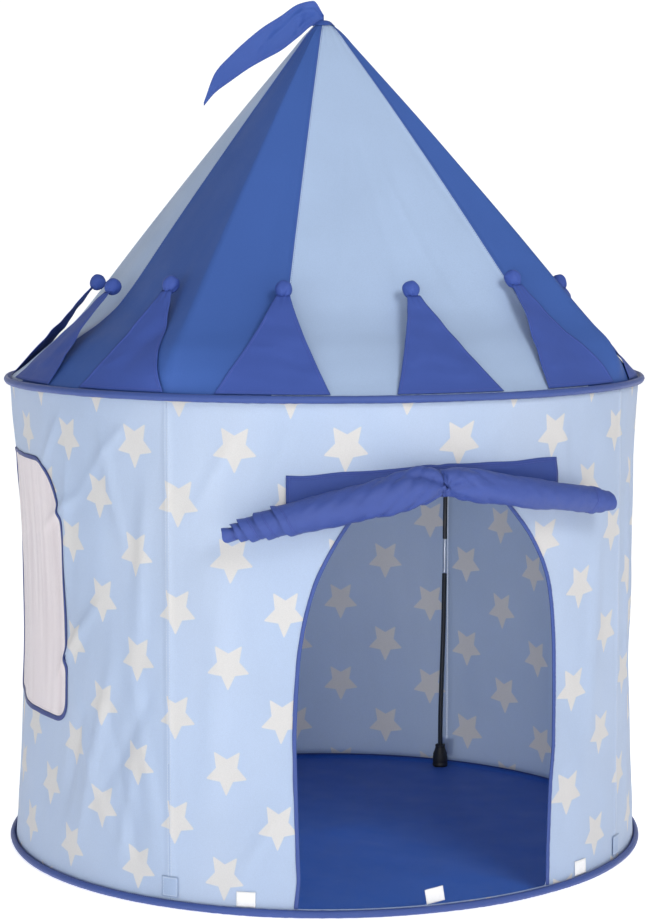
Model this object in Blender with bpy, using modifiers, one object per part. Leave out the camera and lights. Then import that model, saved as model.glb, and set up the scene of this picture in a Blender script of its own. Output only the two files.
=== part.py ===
"""A round play tent shaped like a castle tower.

A printed cloth wall hangs between two sprung steel hoops, each in a hem of folded tape. Four jointed rods stand
in boots on the floor sheet, bend over at the eave and meet in a hub at the peak, where they carry a roof of six
gores. Twelve crown points with stuffed knobs stand round the eave, a pennant flies at the peak, the wall has a
mesh window, and the door flap is rolled up over its arch.

Sizes are in metres, +Z is up and the tent stands on z = 0. Azimuth is measured about +Z from the middle of the
doorway, which faces -Y, towards +X. Rings and panels share one grid of facets, which has a line at each rod.
"""

import math

import bpy
import numpy as np
from mathutils import Matrix, Vector

# Cloth, tape and the space that is left between two pieces that touch
CLOTH = 0.0008
TAPE = 0.0006
GAP = 0.0003
WELD_DISTANCE = 0.00001

# Wall
WALL_RADIUS = 0.4995
WALL_HEIGHT = 0.7335
BASE_SEAM_HEIGHT = 0.006
WAIST_DEPTH = 0.019
WALL_PANELS = 4
FACETS = 60
WALL_ROW_SHARES = (0.18, 0.4, 0.62, 0.82)

# Hems and hoops
SEAM_TAIL = 0.004
HEM_WIDTH = 0.0092
HEM_HEIGHT = 0.0112
HEM_BULGE_SHARE = 0.3
HOOP_WIRE = 0.0025
HOOP_SIDES = 5
FLOOR_TURN_UP = 0.010

# Doorway and its binding
DOOR_WIDTH = 0.400
DOOR_SPRING_HEIGHT = 0.300
DOOR_ARCH_RISE = 0.325
BINDING_LEG = 0.005
BINDING_THICKNESS = 0.0005
BINDING_SLACK = 0.0006
CUT_OVERRUN = 0.05
EDGE_SHARE = 0.02
ARCH_STEPS = 14

# Window
WINDOW_WIDTH = 0.316
WINDOW_SILL = 0.238
WINDOW_HEIGHT = 0.389
WINDOW_TOP_ROUND = 0.078
WINDOW_BOTTOM_ROUND = 0.026

# Rods
ROD_DIAMETER = 0.0084
FERRULE_DIAMETER = 0.0068
FERRULE_LENGTH = 0.063
SECTION_LENGTH = 0.375
ROD_LEAN = 0.021
STEP_LENGTH = 0.0006
# Share of the eave's height, then share of the lean, from the foot to the eave
ROD_LEG_SHARES = ((0.0, 1.0), (0.065, 1.0), (0.38, 0.36), (0.68, 0.08), (0.9, 0.0), (1.0, 0.0))
# Share of the rod's radius at the eave, then share of the roof's rise
ROD_ROOF_SHARES = (
    (1.003, 0.045),
    (0.978, 0.103),
    (0.918, 0.158),
    (0.865, 0.208),
    (0.772, 0.298),
    (0.6546, 0.412),
    (0.3475, 0.699),
    (0.105, 0.917),
    (0.030, 0.962),
)
BOOT_WIDTH = 0.0275
BOOT_HEIGHT = 0.040
BOOT_MOUTH_WALL = 0.003
BOOT_SOLE = 0.007
# Share of the boot's half width, then share of its height, from the shoulder down to the sole
BOOT_SHARES = ((0.75, 0.78), (1.0, 0.5), (1.0, 0.06), (0.9, 0.0))
LOOP_HEIGHT = 0.014
LOOP_WALL = 0.001
LOOP_TAB_SHARES = (0.1, 0.9)

# Hub at the peak
HUB_REACH = 0.040
HUB_SPIGOT_REACH = 0.020
HUB_BOSS_RADIUS = 0.008
HUB_BOSS_HEIGHT = 0.018
SPIGOT_DIAMETER = 0.005

# Roof
ROOF_RISE = 0.5595
ROOF_TURN = math.radians(3)
GORES = 6
PEAK_RADIUS = 0.006
RIDGE_SHARE = 1.22
ROOF_ROUNDNESS_SHARE = 0.26
ROOF_FLARE_SHARE = 0.26
PEAK_CAP_DEPTH = 0.014

# Crown points
CROWN_POINTS = 12
CROWN_WIDTH = 0.165
CROWN_NECK = 0.015
CROWN_RISE = 0.147
CROWN_LIFT = 0.001
CROWN_FLARE_POWER = 1.2
CROWN_CLEARANCE = 0.0031
CROWN_RIDGE_SEAT_CLEARANCE = 0.0025
CROWN_SEAT_CLEARANCE = 0.0010
CROWN_RIDGE_ANGLE = math.radians(8)
CROWN_COLUMNS = 4
KNOB_DIAMETER = 0.026
KNOB_TALL_SHARE = 1.08

# Door flap, rolled up over the arch
HEADER_MARGIN = 0.006
HEADER_RISE = 0.020
HEADER_HEIGHT = 0.046
ROLL_RADIUS = 0.0235
ROLL_HANG = 0.033
ROLL_LEFT_DROOP = 0.062
ROLL_RIGHT_DROOP = 0.037
ROLL_LEFT_LENGTH = 0.313
ROLL_RIGHT_LENGTH = 0.311
ROLL_SIDES = 14
ROLL_EDGE_SHARE = 0.07
ROLL_EDGE_TURN = math.radians(50)
ROLL_DROOP_POWER = 1.4
ROLL_STAND_SHARE = 0.3
# Share of the roll's half length from the tie, then share of the roll's radius there
ROLL_LEFT_SHARES = (
    (0.02, 0.66),
    (0.06, 0.72),
    (0.16, 0.96),
    (0.34, 1.0),
    (0.62, 0.9),
    (0.74, 0.82),
    (0.752, 0.72),
    (0.83, 0.66),
    (0.842, 0.56),
    (0.91, 0.5),
    (0.922, 0.4),
    (1.0, 0.32),
)
ROLL_RIGHT_SHARES = (
    (0.02, 0.66),
    (0.06, 0.74),
    (0.17, 1.0),
    (0.36, 1.04),
    (0.64, 0.94),
    (0.8, 0.86),
    (0.86, 0.8),
    (0.872, 0.7),
    (0.93, 0.66),
    (0.942, 0.57),
    (1.0, 0.53),
)
TIE_WIDTH = 0.011
TIE_THICKNESS = 0.001
TIE_SIDES = 16
STRAP_WIDTH_SHARE = 0.9
STRAP_LANDING = 0.6
KNOT_DIAMETER = 0.013
# Shares of the knot's diameter across the tent, out from it and up
KNOT_SHARES = (1.3, 0.75, 1.0)

# Hook-and-loop tape
PATCH_WIDTH = 0.028
PATCH_HEIGHT = 0.022
PATCH_THICKNESS = 0.001
PATCH_AZIMUTH = math.radians(31.5)

# Pennant
FLAG_AZIMUTH = math.radians(-106)
FLAG_LENGTH = 0.190
FLAG_DROP = 0.148
FLAG_THICKNESS = 0.0012
FLAG_RIPPLE = 0.004
FLAG_WAVES = 1.3
# Share of the length, then shares of the drop that the upper and the lower edge lie under the pivot
FLAG_SHARES = (
    (0.0, -0.06, 0.0),
    (0.086, -0.2, 0.0),
    (0.205, -0.168, 0.13),
    (0.36, -0.04, 0.3),
    (0.5, 0.07, 0.41),
    (0.62, 0.19, 0.507),
    (0.78, 0.38, 0.66),
    (0.905, 0.56, 0.79),
    (1.0, 0.9, 0.94),
)

# Worked out from the sizes above
FACET = 2 * math.pi / FACETS
PANEL_ANGLE = 2 * math.pi / WALL_PANELS
GORE_ANGLE = 2 * math.pi / GORES
CROWN_ANGLE = 2 * math.pi / CROWN_POINTS
LIP_OFFSET = (TAPE + GAP) / 2
SEAM_OFFSET = LIP_OFFSET + TAPE / 2 + GAP + CLOTH / 2
EAVE_HEIGHT = BASE_SEAM_HEIGHT + WALL_HEIGHT
TAIL_RADIUS = WALL_RADIUS - SEAM_TAIL
HEM_INNER = WALL_RADIUS + CLOTH / 2 + GAP + TAPE / 2
HEM_OUTER = HEM_INNER + HEM_WIDTH - TAPE
ROD_RADIUS = ROD_DIAMETER / 2
ROD_EAVE_RADIUS = TAIL_RADIUS - GAP - ROD_RADIUS
FLOOR_TOP = CLOTH
HEM_TOP = BASE_SEAM_HEIGHT + HEM_HEIGHT / 2
HEADER_HALF_ANGLE = math.asin((DOOR_WIDTH / 2 + HEADER_MARGIN) / WALL_RADIUS)
HEADER_TOP = DOOR_SPRING_HEIGHT + DOOR_ARCH_RISE + HEADER_RISE
ROLL_MIDDLE_HEIGHT = HEADER_TOP - ROLL_HANG
PEAK_CAP_TOP = EAVE_HEIGHT + ROOF_RISE + CLOTH + 2 * GAP


def make_collection(name):
    collection = bpy.data.collections.new(name)
    bpy.context.scene.collection.children.link(collection)
    return collection


def make_material(name, colour, roughness, metallic=0.0):
    material = bpy.data.materials.new(name)
    material.use_nodes = True
    shader = material.node_tree.nodes["Principled BSDF"]
    shader.inputs["Base Color"].default_value = (*colour, 1.0)
    shader.inputs["Roughness"].default_value = roughness
    shader.inputs["Metallic"].default_value = metallic
    return material


def place(obj, material=None, parent=None, turn=0.0):
    """Puts an object in the tent's collection, turned about the tent's axis."""
    TENT.objects.link(obj)
    if material:
        obj.data.materials.append(material)
    if parent:
        obj.parent = parent
    obj.rotation_euler.z = turn
    return obj


def make_cutter(obj, turn=0.0):
    CUTTERS.objects.link(obj)
    obj.hide_render = True
    obj.display_type = "WIRE"
    obj.rotation_euler.z = turn
    return obj


def cut(obj, cutter, operation="DIFFERENCE"):
    modifier = obj.modifiers.new(cutter.name, "BOOLEAN")
    modifier.operation = operation
    modifier.object = cutter
    modifier.solver = "EXACT"


def smooth(mesh, angle=math.radians(35)):
    mesh.shade_smooth()
    mesh.set_sharp_from_angle(angle=angle)


def polar(radius, azimuth, height):
    return Vector((radius * math.sin(azimuth), -radius * math.cos(azimuth), height))


def loft(name, rows, closed=False, capped=False):
    """A mesh of quads through rows of points, each row closed into a ring or not, with its end rings capped."""
    width = len(rows[0])
    points = [tuple(point) for row in rows for point in row]
    faces = []
    for row in range(len(rows) - 1):
        for column in range(width if closed else width - 1):
            across = (column + 1) % width
            low, high = row * width, (row + 1) * width
            faces.append((low + column, low + across, high + across, high + column))
    if capped:
        faces.append(tuple(reversed(range(width))))
        faces.append(tuple(range((len(rows) - 1) * width, len(rows) * width)))
    mesh = bpy.data.meshes.new(name)
    mesh.from_pydata(points, [], faces)
    smooth(mesh)
    return mesh


def thicken(obj, thickness):
    modifier = obj.modifiers.new("thickness", "SOLIDIFY")
    modifier.thickness = thickness
    modifier.offset = 0
    modifier.use_even_offset = True


def turned(name, profile, steps=FACETS):
    """An object turned about Z from (radius, height) points."""
    mesh = bpy.data.meshes.new(name)
    edges = [(i, i + 1) for i in range(len(profile) - 1)]
    mesh.from_pydata([(radius, 0, height) for radius, height in profile], edges, [])
    obj = bpy.data.objects.new(name, mesh)
    modifier = obj.modifiers.new("turn", "SCREW")
    modifier.steps = steps
    modifier.render_steps = steps
    modifier.use_merge_vertices = True
    modifier.merge_threshold = WELD_DISTANCE
    modifier.use_smooth_shade = False
    return obj


def tube(name, stations, sides_resolution):
    """A curve object through (point, radius) stations."""
    curve = bpy.data.curves.new(name, "CURVE")
    curve.dimensions = "3D"
    curve.bevel_depth = 1
    curve.bevel_resolution = sides_resolution
    curve.use_fill_caps = True
    spline = curve.splines.new("POLY")
    spline.points.add(len(stations) - 1)
    for point, (place_, radius) in zip(spline.points, stations):
        point.co = (*place_, 1)
        point.radius = radius
    return bpy.data.objects.new(name, curve)


def prism(name, outline, depth):
    """A solid between the outline of (x, z) points at y = 0 and its copy at y = -depth."""
    front = [(x, -depth, z) for x, z in outline]
    back = [(x, 0, z) for x, z in outline]
    return bpy.data.objects.new(name, loft(name, [front, back], closed=True, capped=True))


def interpolate(shares, value):
    """The second column of a table at a value of its first."""
    table = np.array(shares)
    return float(np.interp(value, table[:, 0], table[:, 1]))


# Wall panels, each modelled about azimuth 0 and turned to its place


def wall_heights():
    low = BASE_SEAM_HEIGHT + SEAM_OFFSET
    high = EAVE_HEIGHT - SEAM_OFFSET
    return [low, *(low + share * (high - low) for share in WALL_ROW_SHARES), high]


def wall_radius(azimuth, height):
    """The cloth is drawn in between the rods, most at mid height. It is straight from one row to the next."""
    heights = wall_heights()
    low, *_, high = heights
    drawn_in = [math.sin(math.pi * (row - low) / (high - low)) for row in heights]
    return WALL_RADIUS - WAIST_DEPTH * abs(math.cos(2 * azimuth)) * float(np.interp(height, heights, drawn_in))


def panel_azimuths():
    count = FACETS // WALL_PANELS
    return [(column - count / 2) * FACET for column in range(count + 1)]


def wall_mesh():
    azimuths = panel_azimuths()
    inset = GAP / 2 / WALL_RADIUS
    azimuths[0] += inset
    azimuths[-1] -= inset
    heights = wall_heights()
    rows = [[polar(wall_radius(azimuth, height), azimuth, height) for azimuth in azimuths] for height in heights]
    foot = [polar(TAIL_RADIUS, azimuth, heights[0]) for azimuth in azimuths]
    head = [polar(TAIL_RADIUS, azimuth, heights[-1]) for azimuth in azimuths]
    return loft("wall_panel", [foot, *rows, head])


def on_wall(x, height):
    """The point on a panel's flat facets at a distance x across it."""
    heights = wall_heights()
    row = min(max(int(np.searchsorted(heights, height)) - 1, 0), len(heights) - 2)
    part = (height - heights[row]) / (heights[row + 1] - heights[row])
    lines = []
    for azimuth in panel_azimuths():
        low = polar(wall_radius(azimuth, heights[row]), azimuth, heights[row])
        high = polar(wall_radius(azimuth, heights[row + 1]), azimuth, heights[row + 1])
        lines.append(low.lerp(high, part))
    y = float(np.interp(x, [point.x for point in lines], [point.y for point in lines]))
    return Vector((x, y, height))


def wall_normal(x, height):
    """The outward direction, averaged over the facets that meet at a point."""
    reach = BINDING_LEG / 2
    across = on_wall(x + reach, height) - on_wall(x - reach, height)
    up = on_wall(x, height + reach) - on_wall(x, height - reach)
    return across.cross(up).normalized()


def with_facet_lines(outline):
    """The outline's points, and one more wherever it crosses a line between facets."""
    found = [outline[0]]
    for (x0, z0), (x1, z1) in zip(outline, outline[1:]):
        middle = (z0 + z1) / 2
        lines = [wall_radius(azimuth, middle) * math.sin(azimuth) for azimuth in panel_azimuths()]
        parts = [(line - x0) / (x1 - x0) for line in lines if abs(x1 - x0) > GAP]
        parts += [(height - z0) / (z1 - z0) for height in wall_heights() if abs(z1 - z0) > GAP]
        for part in sorted(part for part in parts if EDGE_SHARE < part < 1 - EDGE_SHARE):
            found.append((x0 + part * (x1 - x0), z0 + part * (z1 - z0)))
        found.append((x1, z1))
    return found


def binding_mesh(name, outline, closed):
    """Tape folded over the cloth's edge along an outline of (x, z) points that goes clockwise seen from outside."""
    inner = CLOTH / 2 + BINDING_SLACK
    outer = inner + BINDING_THICKNESS
    web = GAP + BINDING_THICKNESS
    section = (
        (inner, -BINDING_LEG),
        (outer, -BINDING_LEG),
        (outer, web),
        (-outer, web),
        (-outer, -BINDING_LEG),
        (-inner, -BINDING_LEG),
        (-inner, GAP),
        (inner, GAP),
    )
    path = with_facet_lines(outline)
    if closed:
        path = path[:-1]
    points = [on_wall(x, z) for x, z in path]
    rows = []
    for index, (x, z) in enumerate(path):
        if closed:
            along = points[(index + 1) % len(points)] - points[index - 1]
        else:
            along = points[min(index + 1, len(points) - 1)] - points[max(index - 1, 0)]
        normal = wall_normal(x, z)
        inward = along.cross(normal).normalized()
        rows.append([points[index] + normal * out + inward * into for out, into in section])
    if closed:
        rows.append(rows[0])
    mesh = loft(name, rows, closed=True, capped=not closed)
    return mesh


def door_outline():
    """Up the left side, over the arch and down the right side."""
    half = DOOR_WIDTH / 2
    steps = ARCH_STEPS
    arch = [
        (-half * math.cos(math.pi * i / steps), DOOR_SPRING_HEIGHT + DOOR_ARCH_RISE * math.sin(math.pi * i / steps))
        for i in range(steps + 1)
    ]
    sill = HEM_TOP + GAP
    return [(-half, sill), *arch, (half, sill)]


def window_outline(inset=0.0):
    """Clockwise from the lower left, with round corners, and back to its start."""
    half = WINDOW_WIDTH / 2 - inset
    low = WINDOW_SILL + inset
    high = WINDOW_SILL + WINDOW_HEIGHT - inset
    top = WINDOW_TOP_ROUND - inset
    bottom = WINDOW_BOTTOM_ROUND - inset
    corners = (
        (-half + bottom, low + bottom, bottom, 270, 2),
        (-half + top, high - top, top, 180, 5),
        (half - top, high - top, top, 90, 5),
        (half - bottom, low + bottom, bottom, 0, 2),
    )
    points = []
    for x, z, radius, start, steps in corners:
        for step in range(steps + 1):
            angle = math.radians(start - 90 * step / steps)
            points.append((x + radius * math.cos(angle), z + radius * math.sin(angle)))
    return points + points[:1]


def make_walls():
    mesh = wall_mesh()
    mesh.materials.append(WALL_CLOTH)
    names = ("wall_front", "wall_right", "wall_back", "wall_left")
    walls = {}
    for index, name in enumerate(names):
        wall = place(bpy.data.objects.new(name, mesh), turn=index * PANEL_ANGLE)
        thicken(wall, CLOTH)
        walls[name] = wall
    depth = WALL_RADIUS + CUT_OVERRUN
    door = make_cutter(prism("door_cutter", door_outline(), depth))
    cut(walls["wall_front"], door)
    side = walls["wall_left"].rotation_euler.z
    window = make_cutter(prism("window_cutter", window_outline()[:-1], depth), turn=side)
    cut(walls["wall_left"], window)

    place(bpy.data.objects.new("door_binding", binding_mesh("door_binding", door_outline(), False)), DARK_CLOTH)
    binding = binding_mesh("window_binding", window_outline(), True)
    place(bpy.data.objects.new("window_binding", binding), DARK_CLOTH, turn=side)
    weld(bpy.data.objects["window_binding"])

    net = place(bpy.data.objects.new("window_mesh", mesh.copy()), turn=side)
    net.data.materials.clear()
    net.data.materials.append(NET_CLOTH)
    thicken(net, CLOTH)
    inset = GAP + BINDING_THICKNESS + GAP
    pane = make_cutter(prism("window_pane", window_outline(inset)[:-1], depth), turn=side)
    cut(net, pane, "INTERSECT")


def weld(obj):
    modifier = obj.modifiers.new("weld", "WELD")
    modifier.merge_threshold = WELD_DISTANCE


# Hems, hoops and floor


def hem_profile(seam_height):
    """A fold of tape, from its lower lip out, round the hoop and back to its upper lip."""
    bulge = HEM_INNER + HEM_BULGE_SHARE * HEM_WIDTH
    return [
        (TAIL_RADIUS, seam_height + LIP_OFFSET),
        (HEM_INNER, seam_height + LIP_OFFSET),
        (bulge, seam_height + HEM_HEIGHT / 2 - TAPE / 2),
        (HEM_OUTER, seam_height + HEM_HEIGHT / 4),
        (HEM_OUTER, seam_height - HEM_HEIGHT / 4),
        (bulge, seam_height - HEM_HEIGHT / 2 + TAPE / 2),
        (HEM_INNER, seam_height - LIP_OFFSET),
        (TAIL_RADIUS, seam_height - LIP_OFFSET),
    ]


def make_hem(name, hoop_name, seam_height):
    hem = place(turned(name, hem_profile(seam_height)), DARK_CLOTH, turn=FACET / 2)
    thicken(hem, TAPE)
    hoop_radius = HEM_OUTER - TAPE / 2 - GAP - HOOP_WIRE / 2
    bpy.ops.mesh.primitive_torus_add(
        major_segments=FACETS,
        minor_segments=HOOP_SIDES,
        major_radius=hoop_radius,
        minor_radius=HOOP_WIRE / 2,
        location=(0, 0, seam_height),
    )
    hoop = bpy.context.object
    hoop.name = hoop_name
    bpy.context.collection.objects.unlink(hoop)
    place(hoop, SPRING_STEEL, turn=FACET / 2)
    smooth(hoop.data)


def make_floor():
    """A flat sheet whose edge turns up to the base seam."""
    turn_up = TAIL_RADIUS - FLOOR_TURN_UP
    edge = BASE_SEAM_HEIGHT - SEAM_OFFSET
    profile = [(WALL_RADIUS, edge), (TAIL_RADIUS, edge), (turn_up, CLOTH / 2), (0, CLOTH / 2)]
    floor = place(turned("floor_sheet", profile), FLOOR_CLOTH, turn=FACET / 2)
    thicken(floor, CLOTH)


# Rods. Each is worked out in the plane of one rod, as (radius, height) points, and turned to its place


def rod_leg():
    return [
        Vector((ROD_EAVE_RADIUS - lean * ROD_LEAN, height * EAVE_HEIGHT)) for height, lean in ROD_LEG_SHARES
    ]


def rod_roof():
    return [
        Vector((radius * ROD_EAVE_RADIUS, EAVE_HEIGHT + rise * ROOF_RISE)) for radius, rise in ROD_ROOF_SHARES
    ]


def rod_path():
    """From the boot's sole to the tip, which ends short of the tent's axis."""
    path = rod_leg() + rod_roof()
    path[0].y = FLOOR_TOP + GAP + BOOT_SOLE + GAP
    return path


def stretch(path, start, end):
    """The part of a path between two lengths along it."""
    found = []
    gone = 0.0
    for first, last in zip(path, path[1:]):
        length = (last - first).length
        for mark in (start, end):
            if gone < mark < gone + length:
                found.append((mark, first.lerp(last, (mark - gone) / length)))
        gone += length
        if start < gone < end:
            found.append((gone, last))
    if start <= 0:
        found.append((0.0, path[0]))
    if end >= gone:
        found.append((gone, path[-1]))
    unique = {round(length, 7): point for length, point in found}
    return [(length, unique[length]) for length in sorted(unique)]


def length_at_radius(path, radius):
    """How far along the path it comes within a radius of the axis."""
    gone = 0.0
    for first, last in zip(path, path[1:]):
        if last.x < radius <= first.x:
            return gone + (last - first).length * (first.x - radius) / (first.x - last.x)
        gone += (last - first).length
    return gone


def rod_piece(name, stations, resolution=2):
    """A tube through (length, (radius, height)) points and their tube radii, about azimuth 0."""
    return tube(name, [(polar(point.x, 0, point.y), radius) for (_, point), radius in stations], resolution)


def make_rods():
    path = rod_path()
    half = FERRULE_LENGTH / 2
    joints = [SECTION_LENGTH - half - GAP, SECTION_LENGTH + half + GAP]
    end = length_at_radius(path, HUB_REACH) - GAP - STEP_LENGTH
    tip = length_at_radius(path, HUB_SPIGOT_REACH)

    lower = [(station, ROD_RADIUS) for station in stretch(path, 0, joints[0])]
    ferrule = [
        (station, FERRULE_DIAMETER / 2) for station in stretch(path, joints[0] + GAP, joints[1] - GAP)
    ]
    marks = []
    for index in (2, 3):
        marks += [index * SECTION_LENGTH - half, index * SECTION_LENGTH + half]
    upper = []
    ends = [joints[1], *marks, end, tip]
    radii = [ROD_RADIUS, FERRULE_DIAMETER / 2, ROD_RADIUS, FERRULE_DIAMETER / 2, ROD_RADIUS, SPIGOT_DIAMETER / 2]
    for start, stop, radius in zip(ends, ends[1:], radii):
        shift = STEP_LENGTH if upper else 0
        upper += [(station, radius) for station in stretch(path, start + shift, stop)]

    for number in range(WALL_PANELS):
        turn = (number + 0.5) * PANEL_ANGLE
        side = ("front_right", "back_right", "back_left", "front_left")[number]
        make_boot(f"boot_{side}", turn)
        place(rod_piece(f"rod_lower_{side}", lower), ROD_BLACK, turn=turn)
        place(rod_piece(f"rod_ferrule_{side}", ferrule), BRIGHT_STEEL, turn=turn)
        place(rod_piece(f"rod_upper_{side}", upper), ROD_BLACK, turn=turn)
        make_loop(f"rod_loop_{side}", turn)


def make_boot(name, turn):
    """A moulded foot with a bore for the rod."""
    bore = ROD_RADIUS + GAP
    wide = BOOT_WIDTH / 2
    profile = [
        (0, BOOT_SOLE),
        (bore, BOOT_SOLE),
        (bore, BOOT_HEIGHT),
        (bore + BOOT_MOUTH_WALL, BOOT_HEIGHT),
        *((out * wide, up * BOOT_HEIGHT) for out, up in BOOT_SHARES),
        (0, 0),
    ]
    boot = turned(name, profile, steps=10)
    boot.location = polar(rod_path()[0].x, turn, FLOOR_TOP + GAP)
    place(boot, BOOT_RUBBER, turn=turn)


def make_loop(name, turn):
    """A sewn loop that holds the rod under the eave seam, with a tab to the wall."""
    bore = ROD_RADIUS + GAP
    top = EAVE_HEIGHT - SEAM_OFFSET - CLOTH / 2 - GAP
    profile = [
        (bore, top - LOOP_HEIGHT),
        (bore, top),
        (bore + LOOP_WALL, top),
        (bore + LOOP_WALL, top - LOOP_HEIGHT),
        (bore, top - LOOP_HEIGHT),
    ]
    loop = turned(name, profile, steps=12)
    loop.location = polar(ROD_EAVE_RADIUS, turn, 0)
    weld(loop)
    place(loop, DARK_CLOTH, turn=turn)
    reach = WALL_RADIUS - CLOTH / 2 - GAP - ROD_EAVE_RADIUS
    start = bore + LOOP_WALL / 2
    half = LOOP_WALL
    upper, lower = (top - LOOP_HEIGHT * share for share in LOOP_TAB_SHARES)
    outline = [(-half, lower), (half, lower), (half, upper), (-half, upper)]
    tab = make_cutter(prism(f"{name}_tab", outline, reach - start), turn=turn)
    tab.location = polar(ROD_EAVE_RADIUS + start, turn, 0)
    cut(loop, tab, "UNION")


def make_hub():
    """Four sockets that meet in a boss and take the rods' spigots."""
    path = rod_path()
    last, tip = path[-2], path[-1]
    slope = (tip - last).normalized()

    def on_line(radius):
        return tip + slope * ((radius - tip.x) / slope.x)

    peak = on_line(0)
    top = peak.y + ROD_RADIUS / 2
    bpy.ops.mesh.primitive_cylinder_add(
        vertices=16, radius=HUB_BOSS_RADIUS, depth=HUB_BOSS_HEIGHT, location=(0, 0, top - HUB_BOSS_HEIGHT / 2)
    )
    hub = bpy.context.object
    hub.name = "peak_hub"
    bpy.context.collection.objects.unlink(hub)
    place(hub, BOOT_RUBBER)
    for number in range(WALL_PANELS):
        azimuth = (number + 0.5) * PANEL_ANGLE
        near, far = on_line(HUB_BOSS_RADIUS / 2), on_line(HUB_REACH)
        start, end = polar(near.x, azimuth, near.y), polar(far.x, azimuth, far.y)
        cut(hub, make_cutter(rod_solid(f"hub_arm_{number}", start, end, ROD_RADIUS)), "UNION")
    for number in range(WALL_PANELS):
        azimuth = (number + 0.5) * PANEL_ANGLE
        inner = on_line(HUB_SPIGOT_REACH - STEP_LENGTH)
        outer = on_line(HUB_REACH + ROD_DIAMETER)
        bore = rod_solid(
            f"hub_bore_{number}",
            polar(inner.x, azimuth, inner.y),
            polar(outer.x, azimuth, outer.y),
            SPIGOT_DIAMETER / 2 + GAP,
        )
        cut(hub, make_cutter(bore))


def rod_solid(name, start, end, radius):
    """A round bar between two points, as a mesh."""
    bpy.ops.mesh.primitive_cylinder_add(vertices=12, radius=radius, depth=(end - start).length)
    obj = bpy.context.object
    obj.name = name
    bpy.context.collection.objects.unlink(obj)
    obj.location = (start + end) / 2
    obj.rotation_mode = "QUATERNION"
    obj.rotation_quaternion = (end - start).to_track_quat("Z", "Y")
    return obj


# Roof. Its cloth runs straight between the rods, rounded by its own tension, and flares out to the round eave


def roof_rows():
    """(radius at the rods, height, roundness) of each row above the eave seam, from the corner to the peak."""
    offset = (ROD_RADIUS + GAP + CLOTH / 2) * RIDGE_SHARE
    path = [rod_leg()[-1], *rod_roof()]
    rows = [(WALL_RADIUS - CLOTH, EAVE_HEIGHT + SEAM_OFFSET, 1.0)]
    for index in range(1, len(path)):
        before = (path[index] - path[index - 1]).normalized()
        after = (path[min(index + 1, len(path) - 1)] - path[index]).normalized() or before
        bisector = (before + after).normalized()
        out = Vector((bisector.y, -bisector.x))
        point = path[index] + out * offset / out.dot(Vector((before.y, -before.x)))
        share = (point.y - EAVE_HEIGHT) / ROOF_RISE
        flare = max(1 - share / ROOF_FLARE_SHARE, 0) ** 2
        rows.append((point.x, point.y, ROOF_ROUNDNESS_SHARE + (1 - ROOF_ROUNDNESS_SHARE) * flare))
    rows.append((PEAK_RADIUS, EAVE_HEIGHT + ROOF_RISE, 1.0))
    return rows


def ring_share(azimuth, roundness):
    """The roof's radius at an azimuth as a share of its radius at the rods."""
    half = PANEL_ANGLE / 2
    from_rod = abs((azimuth % PANEL_ANGLE) - half)
    straight = math.cos(half) / math.cos(half - from_rod)
    return straight + (1 - straight) * roundness


def roof_radius(azimuth, height):
    rows = roof_rows()
    heights = [row[1] for row in rows]
    radii = [row[0] * ring_share(azimuth, row[2]) for row in rows]
    return float(np.interp(height, heights, radii))


def gore_mesh(name, azimuth):
    columns = FACETS // GORES
    rows = [(TAIL_RADIUS, EAVE_HEIGHT + SEAM_OFFSET, 1.0), *roof_rows()]
    points = []
    for radius, height, roundness in rows:
        row = []
        for column in range(columns + 1):
            angle = (column - columns / 2) * FACET
            edge = GAP / 2 / radius
            angle = min(max(angle, edge - GORE_ANGLE / 2), GORE_ANGLE / 2 - edge)
            row.append(polar(radius * ring_share(azimuth + angle, roundness), azimuth + angle, height))
        points.append(row)
    return loft(name, points)


def make_roof():
    for number in range(GORES):
        azimuth = ROOF_TURN + number * GORE_ANGLE
        name = f"roof_gore_{number + 1}"
        cloth = DARK_CLOTH if number % 2 else LIGHT_CLOTH
        gore = place(bpy.data.objects.new(name, gore_mesh(name, azimuth)), cloth)
        thicken(gore, CLOTH)


def make_peak_cap():
    """A small round cap of cloth over the peak, where the pennant is sewn on."""
    rise = GAP + CLOTH
    rows = roof_rows()
    low = EAVE_HEIGHT + ROOF_RISE - PEAK_CAP_DEPTH
    skirt = float(np.interp(low, [row[1] for row in rows], [row[0] for row in rows])) + 2 * rise
    edge = PEAK_RADIUS + 2 * rise
    profile = [(0, PEAK_CAP_TOP), (PEAK_RADIUS, PEAK_CAP_TOP), (edge, PEAK_CAP_TOP - rise), (skirt, low)]
    cap = turned("peak_cap", profile, steps=16)
    thicken(cap, CLOTH)
    place(cap, DARK_CLOTH)


# Crown points


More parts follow.
